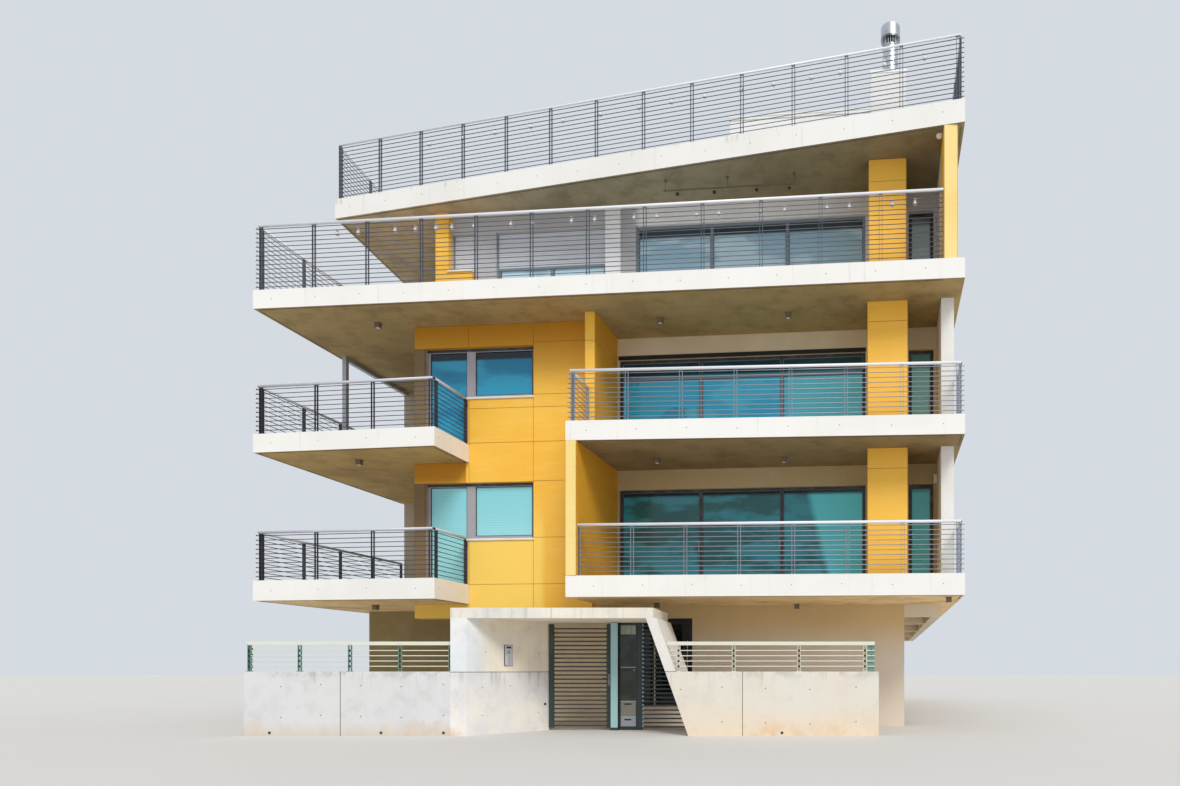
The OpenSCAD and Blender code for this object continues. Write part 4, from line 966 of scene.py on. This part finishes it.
def front_windows():
    """The sashes of the front panes, a dark strip over storey 2's wide glass, and the blinds
    behind storey 1's panes in the yellow wall."""
    left, right, blind = Shape(), Shape(), Shape((0, YELLOW_FACE + 0.2, 0))
    wide = []
    for storey in (1, 2, 3):
        for low, high in map(corners, solids("front_glass_%d" % storey)):
            if low.y > YELLOW_FACE + 0.5:
                sash(right, low, high, 0.009, 0.007, 0 if storey == 2 else 1)
                if storey == 2 and 0.0 < high.x < 6.0:
                    wide += [low.x, high.x]
                continue
            sash(left, low, high, 0.014)
            if storey == 1:
                for z in every(low.z + 0.03, high.z - 0.03, 0.055):
                    blind.box((low.x - 0.02, 0.0, z - 0.022), (high.x + 0.02, 0.006, z + 0.022))
                for x in (low.x + 0.2, high.x - 0.2):
                    blind.box((x, -0.003, low.z), (x + 0.006, 0.0, high.z))
    # A dark strip along the head of storey 2's wide glass
    right.box((min(wide) - 0.07, RECESS_FACE - 0.012, YELLOW_HEADS[1] - 0.01),
              (max(wide) + 0.07, RECESS_FACE, YELLOW_HEADS[1] + 0.085), 1)
    left.done("left_window_sashes", "window_metal", "dark_rubber", "handle_steel",
              slot="window_frame", bevel=0.002)
    right.done("glass_front_sashes", "window_sash_metal", "dark_rubber", "handle_steel",
               slot="window_frame", bevel=0.002)
    blind.done("window_blinds", "blind_slats", slot="shutter")


def shutter(shape, x0, x1, y, z0, z1, guides_to):
    """Roller shutter slats with a bottom bar and two guides."""
    for z in every(z0 + 0.05, z1, 0.045)[:-1]:
        shape.box((x0 + 0.012, y - 0.007, z + 0.003), (x1 - 0.012, y + 0.007, z + 0.041))
    shape.box((x0 + 0.014, y - 0.003, z0 + 0.03), (x1 - 0.014, y + 0.003, z1), 1)
    shape.box((x0 + 0.01, y - 0.012, z0), (x1 - 0.01, y + 0.012, z0 + 0.05), 1)
    for x in (x0, x1 - 0.035):
        shape.box((x, y - 0.018, guides_to), (x + 0.035, y + 0.018, z1), 1)


def storey_3_shutters():
    """The two shutters of storey 3; the guides of the wide one reach the floor."""
    shape = Shape()
    for low, high in map(corners, solids("roller_shutters")):
        foot = FLOOR[2] if high.x - low.x > 1.0 else SMALL_SILL_Z + 0.042
        shutter(shape, low.x, high.x, (low.y + high.y) / 2, low.z, high.z, foot)
    shape.done("shutter_slats", "shutter_slats", "window_metal", slot="shutter",
               stands_for=("roller_shutters",), bevel=0.003)


SHUTTER_DROPS = (0.28, 0.1, 0.55, 0.1, 0.8)


def side_windows():
    """Frames, mullions, sills and part-lowered shutters of the side and rear windows."""
    frames, shutters, sills = Shape(), Shape(), Shape()
    for i, (low, high) in enumerate(map(corners, solids("side_glass"))):
        middle, z0, z1 = (low + high) / 2, low.z, high.z
        if high.x - low.x > high.y - low.y:
            origin, turn = (middle.x, WALL_BACK, 0), math.pi
            half, depth = (high.x - low.x) / 2, WALL_BACK - middle.y
        else:
            wall, turn = ((WALL_RIGHT, math.pi / 2) if middle.x > 0
                          else (WALL_LEFT, -math.pi / 2))
            origin = (wall, middle.y, 0)
            half, depth = (high.y - low.y) / 2, abs(wall - middle.x)
        for shape in (frames, shutters, sills):
            shape.move(origin, turn)
        front, back = depth - 0.045, depth + 0.045
        frames.ring(-half, half, front, back, z0, z1, 0.055)
        frames.box((-0.035, front, z0), (0.035, back, z1))
        for x0, x1 in ((-half + 0.055, -0.035), (0.035, half - 0.055)):
            frames.ring(x0, x1, front + 0.01, back - 0.01, z0 + 0.055, z1 - 0.055, 0.035)
            frames.ring(x0 + 0.035, x1 - 0.035, front + 0.02, back - 0.02, z0 + 0.09, z1 - 0.09,
                        0.01, 1)
        frames.box((0.05, front - 0.03, middle.z - 0.06), (0.075, front, middle.z + 0.06), 2)
        sills.box((-half - 0.04, -0.035, z0 - 0.045), (half + 0.04, front, z0))
        sills.box((-half - 0.03, -0.03, z0 - 0.05), (half + 0.03, -0.018, z0 - 0.045))
        shutter(shutters, -half, half, depth - 0.07, z1 - SHUTTER_DROPS[i * 3 % 5], z1, z0)
    frames.done("side_window_frames", "window_sash_metal", "dark_rubber", "handle_steel",
                slot="window_frame")
    shutters.done("side_shutters", "shutter_slats", "window_sash_metal", slot="shutter")
    sills.done("side_window_sills", "sill_stone", slot="white_render", bevel=0.003)


# Lamps under the slabs: the slab, and the place across and behind the front edge
SOFFIT_LAMPS = ((2, -5.26, 0.89), (2, 1.03, 1.21), (2, 3.84, 1.22), (1, -5.61, 0.76),
                (1, 0.97, 1.19), (1, 3.73, 1.36), (0, -5.57, 1.27), (0, 3.96, 1.86),
                (0, 0.93, 1.3), (0, 7.19, 0.43))
SPOT_RAIL_Z = 11.765


def small_lamps():
    """Box lamps under the slabs, the wall lamp, the round lamp beside the end column and the
    rail with four spots."""
    shape = Shape((0, FRONT, 0))
    for level, x, y in SOFFIT_LAMPS:
        z = SOFFIT[level]
        shape.block(x, y, 0.06, 0.06, z - 0.02, z)
        shape.block(x, y, 0.052, 0.052, z - 0.11, z - 0.02)
        shape.pole(x, y, z - 0.114, z - 0.108, 0.04, 16, 1)
    roof = SOFFIT[3]
    shape.box((6.99, 2.06, 5.42), (7.07, 2.18, 5.62), 1)
    shape.box((6.98, 2.07, 5.44), (6.99, 2.17, 5.6))
    shape.pole(7.0, 0.35, roof - 0.03, roof, 0.07, 20, 1)
    shape.ball((7.0, 0.35, roof - 0.03), 0.062, 0.75, 1)
    shape.done("soffit_lamps", "lamp_body", "white_fitting", slot="rail_metal", bevel=0.004)
    rail, z = Shape((0, FRONT + 1.3, 0)), SPOT_RAIL_Z
    for x in (1.12, 2.5, 3.96):
        rail.pole(x, 0, z + 0.015, roof, 0.006)
        rail.pole(x, 0, roof - 0.02, roof, 0.035, 16)
    rail.box((1.08, -0.014, z), (4.0, 0.014, z + 0.025))
    for x in (1.4, 2.22, 3.15, 3.86):
        rail.pole(x, 0, z, z - 0.065, 0.007)
        rail.rod((x, 0.03, z - 0.053), (x, -0.045, z - 0.105), 0.03, 14, radius_end=0.042)
        rail.rod((x, -0.0435, z - 0.104), (x, -0.047, z - 0.1065), 0.034, 14, 1)
    rail.done("spot_rail", "lamp_body", "dark_rubber", slot="rail_metal")


def floor_finishes():
    """Tiles on balconies and terraces and felt on the roof."""
    tiles, felt = Shape((0, FRONT, 0)), Shape((0, FRONT, 0))
    balconies = (((-0.26, -0.11), (7.32, 0.14), (7.32, 0.82), (7.06, 0.84), (7.06, 2.2),
                  (-0.26, 2.2)),
                 ((-7.32, 0.14), (-3.47, -0.02), (-3.47, 1.2), (-4.6, 1.2), (-4.6, 5.1),
                  (-7.32, 5.1)))
    terrace = ((-7.32, 0.14), (7.32, 0.14), (7.32, 0.82), (7.06, 0.82), (7.06, 2.2),
               (-0.18, 2.2), (-0.54, 2.2), (-4.6, 2.2), (-4.6, 5.1), (-7.32, 5.1))
    for z, outlines in zip(FLOOR, (balconies, balconies, (terrace,))):
        for outline in outlines:
            tiles.plate(outline, z, z + 0.01)
    tiles.done("balcony_tiles", "balcony_tiles", slot="concrete")
    felt.plate(((-6.9, 2.16), (7.32, 0.17), (7.32, 17.85), (-7.32, 17.85), (-7.32, 6.0)),
               FLOOR[3], FLOOR[3] + 0.008)
    felt.done("roof_felt", "roof_felt", slot="concrete")


def roof_parts():
    """Coping, felt and rear door of the stair head, and the flashing of the stack."""
    low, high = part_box("stair_head")
    trim = Shape()
    for out, z0, z1, look in ((0.02, -0.09, -0.005, 0), (0.03, -0.03, 0.006, 0),
                              (-0.09, 0.005, 0.012, 5)):
        trim.cover(low, high, out, high.z + z0, high.z + z1, look)
    trim.move(((low.x + high.x) / 2, high.y, 0), math.pi)
    z0, z1 = FLOOR[3] + 0.01, high.z - 0.26
    trim.ring(-0.5, 0.5, 0.07, 0.15, z0, z1, 0.05, 1)
    trim.box((-0.45, 0.085, z0 + 0.05), (0.45, 0.125, z1 - 0.05), 2)
    for i in range(9):
        z = z1 - 0.62 + i * 0.05
        trim.box((-0.3, 0.074, z), (0.3, 0.085, z + 0.03), 1)
    z = z0 + 0.98
    trim.rod((0.36, 0.035, z), (0.22, 0.035, z), 0.009, 8, 3)
    trim.pin(0.36, z, 0.085, 0.035, 0.009, 8, 3)
    trim.box((-0.55, -0.02, z0 - 0.01), (0.55, 0.15, z0 + 0.012), 4)
    trim.done("stair_head_trim", "white_fitting", "window_sash_metal", "grey_door",
              "handle_steel", "sill_stone", "roof_felt", slot="white_render", bevel=0.002)
    low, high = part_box("chimney_stack")
    cap = Shape()
    cap.cover(low, high, 0.012, low.z, low.z + 0.12)
    cap.cover(low, high, 0.01, high.z - 0.05, high.z + 0.012)
    cap.done("stack_flashing", "rail_top_metal", slot="flue_steel", bevel=0.003)


def flue_parts():
    """Vent bars under the cap, seams and a storm collar on the flue."""
    low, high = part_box("flue")
    z, cap = low.z, high.z
    shape = Shape(((low.x + high.x) / 2, (low.y + high.y) / 2, 0))
    shape.pole(0, 0, z + 0.79, z + 0.94, 0.135, 24, 1)
    for i in range(20):
        a = 2 * math.pi * i / 20
        shape.pole(0.163 * math.cos(a), 0.163 * math.sin(a), z + 0.78, z + 0.95, 0.008, 6)
    for seam in (0.02, 0.4, 0.775):
        shape.pole(0, 0, z + seam - 0.012, z + seam + 0.012, 0.169, 32)
    shape.pole(0, 0, z + 0.005, z + 0.11, 0.235, 32, radius_end=0.166)
    shape.pole(0, 0, cap - 0.262, cap - 0.245, 0.2065, 36, 1)
    shape.done("flue_vents", "flue_steel", "dark_rubber", slot="flue_steel")


# The street front is set out from the right end of its front face, with u falling leftwards
STREET = max(solids("boundary_wall_right")[0], key=lambda p: p.x).xy.to_3d()
WALL_END_U, HOUSE_U, RIGHT_END_U = -12.2108, -8.2408, -0.07
FACE_U, FACE_RUN, GATE_DEPTH = -7.9308, 1.08, 1.55
FACE_TURN, FACE_W = math.atan2(GATE_DEPTH, FACE_RUN), math.hypot(GATE_DEPTH, FACE_RUN)
GATE_FACE = GATE_DEPTH - 0.05
GATE_LEFT, GATE_RIGHT = -6.8428, -5.5228
POST_U, LETTER_U, SCREEN_U = -5.5148, -5.3598, -4.9698
LEAN, BLADE_W = 0.36, 0.2
BLADE_U = -4.4808 + LEAN * (CANOPY - COPING)
POUR_JOINTS, POUR_Z = (-10.355, -2.621), (1.224, 1.236)
LEFT_TIES = ((0.971, 0.377), (-11.502, -10.732, -9.963, -9.181, -8.371))
RIGHT_TIES = ((0.917, 0.257), (-3.811, -3.015, -2.179, -1.323, -0.438))
FACE_TIES = ((0.18, 0.38), (0.18, 0.93), (0.5, 0.95), (0.86, 0.95), (0.86, 0.38), (0.22, 1.62),
             (0.86, 1.62))
WEEPS = (-11.717, -9.573, -8.371, -1.861)
BOX_BARS = (1.326, 0.609, 0.28)


def gatehouse_face():
    """The origin of the gatehouse wall that turns in towards the gate."""
    return STREET + Matrix.Rotation(STREET_TURN, 3, "Z") @ Vector((FACE_U, 0, 0))


def wall_marks():
    """Joints, tie holes and weep holes of the street walls."""
    shape = Shape(STREET, STREET_TURN)
    for u in POUR_JOINTS:
        shape.box((u - 0.006, -0.0012, 0.0), (u + 0.006, 0.2012, COPING + 0.001), 1)
    for heights, places in (LEFT_TIES, RIGHT_TIES):
        for i, u in enumerate(places):
            for z in heights:
                z += 0.02 * ((i * 5) % 3 - 1)
                shape.pin(u, z, 0.003, -0.0015, 0.014, 12)
                shape.pin(u, z, 0.197, 0.2015, 0.014, 12)
    for u in WEEPS:
        shape.pin(u, 0.062, 0.01, -0.004, 0.03, 14)
        shape.pin(u, 0.062, 0.0, -0.0055, 0.022, 14, 2)
    edge = BLADE_U + BLADE_W
    for low, high in (
            ((HOUSE_U, -0.0012, POUR_Z[0]), (FACE_U, 0.0, POUR_Z[1])),
            ((BLADE_U, -0.0012, COPING - 0.006), (edge, 0.0, COPING + 0.004)),
            ((edge - 0.004, 0.0, COPING), (edge + 0.005, 0.2, COPING + 0.01)),
            ((-6.306, -0.0012, CANOPY), (-6.3, GATE_DEPTH, CANOPY + 0.2))):
        shape.box(low, high, 1)
    shape.move(gatehouse_face(), STREET_TURN + FACE_TURN)
    shape.box((0.0, -0.0015, POUR_Z[0]), (FACE_W, 0.0, POUR_Z[1]), 1)
    for share, z in FACE_TIES:
        shape.pin(FACE_W * share, z, 0.003, -0.0015, 0.012, 12)
    shape.pin(FACE_W * 0.943, 0.552, 0.0, -0.004, 0.03, 14)
    shape.pin(FACE_W * 0.943, 0.552, 0.0, -0.006, 0.024, 14, 2)
    shape.done("street_wall_marks", "hole_plug", "joint_shadow", "dark_rubber", slot="concrete")


def entry_phone():
    """The entry phone: a plate with a lens, sound slots, four buttons with bare labels."""
    shape = Shape(gatehouse_face(), STREET_TURN + FACE_TURN)
    x0, x1, z0, z1 = FACE_W * 0.43, FACE_W * 0.53, 1.35, 1.774
    middle = (x0 + x1) / 2
    shape.box((x0, -0.014, z0), (x1, 0.0, z1), 1)
    shape.box((x0 + 0.007, -0.02, z0 + 0.007), (x1 - 0.007, -0.012, z1 - 0.007))
    shape.box((middle - 0.05, -0.024, z1 - 0.07), (middle + 0.05, -0.018, z1 - 0.035), 1)
    for i in range(5):
        z = z1 - 0.12 - i * 0.014
        shape.box((middle - 0.035, -0.0212, z), (middle + 0.035, -0.0195, z + 0.005), 1)
    for i in range(4):
        z = z1 - 0.235 - i * 0.04
        shape.pin(middle, z, -0.018, -0.0255, 0.011, 14, 2)
        shape.box((x0 + 0.03, -0.0212, z - 0.008), (middle - 0.025, -0.0195, z + 0.008), 3)
    for x in (x0 + 0.022, x1 - 0.022):
        for z in (z0 + 0.022, z1 - 0.022):
            shape.pin(x, z, -0.019, -0.0222, 0.004, 8, 2)
    shape.done("entry_phone", "entry_phone_metal", "dark_rubber", "handle_steel",
               "white_fitting", slot="gate_paint", bevel=0.002)


def letter_boxes():
    """The glass front of the letter boxes, the post's pale face and the screen's tabs."""
    shape = Shape(STREET, STREET_TURN)
    face = GATE_FACE
    x0, x1 = LETTER_U + 0.012, SCREEN_U - 0.012
    shape.ring(x0, x1, face - 0.014, face, 0.055, CANOPY - 0.035, 0.022, 1)
    x0, x1 = x0 + 0.022, x1 - 0.022
    shape.box((x0, face - 0.006, 0.077), (x1, face - 0.001, CANOPY - 0.057))
    shape.box((x0, face - 0.012, 1.995), (x1, face - 0.004, 2.02), 1)
    for z in BOX_BARS:
        shape.box((x0, face - 0.012, z - 0.006), (x1, face - 0.004, z + 0.006), 3)
        shape.pin(x1 - 0.038, z - 0.06, face - 0.004, face - 0.012, 0.009, 12, 2)
        shape.box((x0 + 0.078, face - 0.009, z - 0.075), (x1 - 0.098, face - 0.004, z - 0.045), 4)
    for k in (1, 2):
        x = x0 - 0.022 + (x1 - x0 + 0.044) * k / 3
        shape.box((x - 0.003, face - 0.009, 2.02), (x + 0.003, face - 0.004, CANOPY - 0.057), 1)
    front = GATE_DEPTH - 0.155
    shape.box((POST_U + 0.004, front - 0.004, 0.06), (LETTER_U - 0.004, front, CANOPY - 0.01), 3)
    for z in every(0.09, CANOPY - 0.06, 0.089):
        shape.box((SCREEN_U + 0.1, face - 0.004, z - 0.018),
                  (SCREEN_U + 0.128, face + 0.03, z + 0.018), 3)
        shape.pin(SCREEN_U + 0.112, z, face - 0.006, face - 0.003, 0.006, 8, 1)
    shape.done("letter_box_fronts", "letter_box_pane", "gate_post_metal", "handle_steel",
               "gate_post_face", "dark_rubber", slot="gate_paint", bevel=0.0015)


def gate_fittings():
    """Side straps, lock plates, levers and bar caps, on the turning leaf."""
    shape = Shape(STREET, STREET_TURN)
    face, back, x = GATE_FACE, GATE_DEPTH, GATE_RIGHT - 0.05
    for u in (GATE_LEFT + 0.002, GATE_RIGHT - 0.098):
        shape.box((u, face - 0.003, 0.052), (u + 0.096, face, CANOPY - 0.032))
    shape.box((x - 0.022, face - 0.006, 0.94), (x + 0.022, face - 0.002, 1.18), 1)
    shape.pin(x, 1.0, face - 0.004, face - 0.012, 0.012, 12, 1)
    shape.box((x - 0.022, back, 0.94), (x + 0.022, back + 0.006, 1.18), 1)
    for foot, lever in ((face - 0.004, face - 0.05), (back, back + 0.045)):
        shape.pin(x, 1.1, foot, lever, 0.01, 10, 1)
        shape.rod((x + 0.008, lever, 1.1), (x - 0.12, lever, 1.1), 0.009, 10, 1)
    for edge in (GATE_LEFT + 0.1, GATE_RIGHT - 0.128):
        for i in range(24):
            z = 0.095 + i * 0.089
            shape.box((edge, face + 0.004, z - 0.019), (edge + 0.028, face + 0.012, z + 0.019))
    shape.done("gate_fittings", "gate_post_metal", "lever_steel", body=GATE, slot="gate_paint",
               bevel=0.001)


FENCE_TOP, FENCE_Y = 1.82, 0.1
RIGHT_POSTS = (-2.8, -1.536, -0.26)


def fence(shape, foot_u, right_u, posts, lean, look):
    """One fence: twin flat posts, thin bars and a flat rail on top of the wall."""
    y, rail_z = FENCE_Y, FENCE_TOP - 0.07
    levels = [COPING + k * (rail_z - COPING) / 5 for k in range(1, 5)]
    for u in posts:
        for side in (-0.026, 0.026):
            shape.block(u + side, y, 0.005, 0.022, COPING, FENCE_TOP - 0.035, look)
        shape.block(u, y, 0.05, 0.045, COPING, COPING + 0.008, look)
        for z in levels:
            shape.block(u, y, 0.021, 0.012, z - 0.02, z + 0.02, 2)
            for x in (-0.038, 0.031):
                shape.rod((u + x, y, z), (u + x + 0.007, y, z), 0.014, 8, look)
    for z in levels:
        shape.rod((foot_u - lean * (z - COPING), y, z), (right_u, y, z), 0.0095, 10)
    shape.box((foot_u - lean * (rail_z - COPING), y - 0.022, rail_z),
              (right_u, y + 0.022, FENCE_TOP))


def fences():
    """Both fences, and the stepped end pieces behind them."""
    shape = Shape(STREET, STREET_TURN)
    fence(shape, WALL_END_U, HOUSE_U, every(WALL_END_U + 0.04, HOUSE_U - 0.04, 1.0), 0.0, 1)
    blade = BLADE_U + BLADE_W + 0.005
    fence(shape, blade, RIGHT_END_U, (blade + 0.04, *RIGHT_POSTS), LEAN, 0)
    for u0, u1 in ((-0.2, RIGHT_END_U), (WALL_END_U, WALL_END_U + 0.04)):
        shape.box((u0, 0.125, COPING), (u1, 0.16, 1.8), 1)
        for k in range(5):
            z = COPING + 0.07 + k * 0.11
            shape.box((u0, 0.16, z), (u1, 0.196, z + 0.06), 1)
            shape.pin((u0 + u1) / 2, z + 0.03, 0.12, 0.126, 0.014, 8, 2)
    shape.done("fence_bars", "fence_metal", "fence_end_metal", "dark_rubber", slot="fence_paint",
               stands_for=("fences",), bevel=0.002)


def entrance_fittings():
    """Glass, rails and pull handle on the entrance leaf, and the frame around it."""
    low, high = corners([p for group in solids("entrance_door") for p in group])
    face, left, right, z0, z1 = high.y - 0.079, 0.608, 1.492, low.z, high.z
    pull = right - 0.14
    leaf = Shape()
    leaf.ring(left + 0.002, right - 0.002, face - 0.01, face, z0 + 0.002, z1 - 0.002, 0.09)
    leaf.box((left + 0.12, face - 0.006, z0 + 0.3), (right - 0.28, face, z1 - 0.12), 1)
    leaf.ring(left + 0.11, right - 0.27, face - 0.009, face, z0 + 0.29, z1 - 0.11, 0.012, 3)
    leaf.pole(pull, face - 0.055, z0 + 0.7, z0 + 1.5, 0.014, 14, 2)
    for z in (z0 + 0.78, z0 + 1.42):
        leaf.pin(pull, z, face, face - 0.055, 0.009, 10, 2)
    leaf.pin(right - 0.06, z0 + 1.05, face, face - 0.014, 0.018, 16, 2)
    leaf.done("entrance_leaf_parts", "door_metal", "door_glass", "handle_steel", "dark_rubber",
              body=DOOR, slot="door_paint", bevel=0.002)
    trim = Shape((0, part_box("ground_front_wall")[0].y, 0))
    z0, z1 = 0.45, high.z + 0.008
    for low, high, look in (((0.6, 0.11, z0), (0.622, 0.18, z1), 0),
                            ((1.478, 0.11, z0), (1.5, 0.18, z1), 0),
                            ((0.622, 0.11, z1 - 0.022), (1.478, 0.18, z1), 0),
                            ((0.6, -0.03, z0 - 0.04), (1.5, 0.18, z0 + 0.004), 1),
                            ((0.355, -0.012, z0 + 0.035), (0.565, 0.0, z1 - 0.035), 2)):
        trim.box(low, high, look)
    trim.ring(0.32, 0.6, -0.022, 0.0, z0, z1, 0.035)
    trim.done("entrance_frame", "door_metal", "sill_stone", "door_glass", slot="door_paint",
              bevel=0.002)


def studio_floor():
    """The plain pale floor, which isn't part of the building."""
    paint = Paint("studio_floor", Roughness=0.9)
    paint.finish(paint.mix(paint.noise(0.2), (214, 211, 206), (208, 205, 200)))
    shape = Shape()
    shape.box((-150, -150, -0.2), (150, 150, 0.0))
    shape.made("studio_floor", "studio_floor")


FOCAL_PX, PHOTO_W, SENSOR = 787, 1180, 36.0
EYE, CROP = (5.85, FRONT - 15.6, 1.29), (-0.1873, 0.2339)


def camera_and_light():
    """The photograph's level camera with its upward crop, a soft sun and a pale sky."""
    data = bpy.data.cameras.new("camera")
    data.sensor_width, data.lens = SENSOR, SENSOR * FOCAL_PX / PHOTO_W
    data.shift_x, data.shift_y = CROP
    data.clip_end = 400.0
    camera = placed(bpy.data.objects.new("camera", data))
    camera.location = EYE
    camera.rotation_euler = (math.pi / 2, 0, STREET_TURN)
    bpy.context.scene.camera = camera
    sun = bpy.data.lights.new("soft_key", "SUN")
    sun.energy, sun.angle, sun.color = 1.9, math.radians(22), (1.0, 0.975, 0.94)
    key = placed(bpy.data.objects.new("soft_key", sun))
    key.rotation_euler = (math.radians(46), 0, math.radians(32))
    world = bpy.data.worlds.new("studio")
    world.use_nodes = True
    sky = world.node_tree.nodes["Background"]
    sky.inputs["Color"].default_value = (0.88, 0.93, 1.0, 1.0)
    sky.inputs["Strength"].default_value = 0.76
    bpy.context.scene.world = world
    bpy.context.scene.view_settings.view_transform = "Standard"


dress_model()
for name, (bars, step, _) in RAILINGS.items():
    railing(name, bars, step)
for make in (railing_lamps, edge_marks, yellow_boards, stone_sills, front_windows,
             storey_3_shutters, side_windows, small_lamps, floor_finishes, roof_parts, flue_parts,
             wall_marks, entry_phone, letter_boxes, gate_fittings, fences, entrance_fittings,
             studio_floor, camera_and_light):
    make()
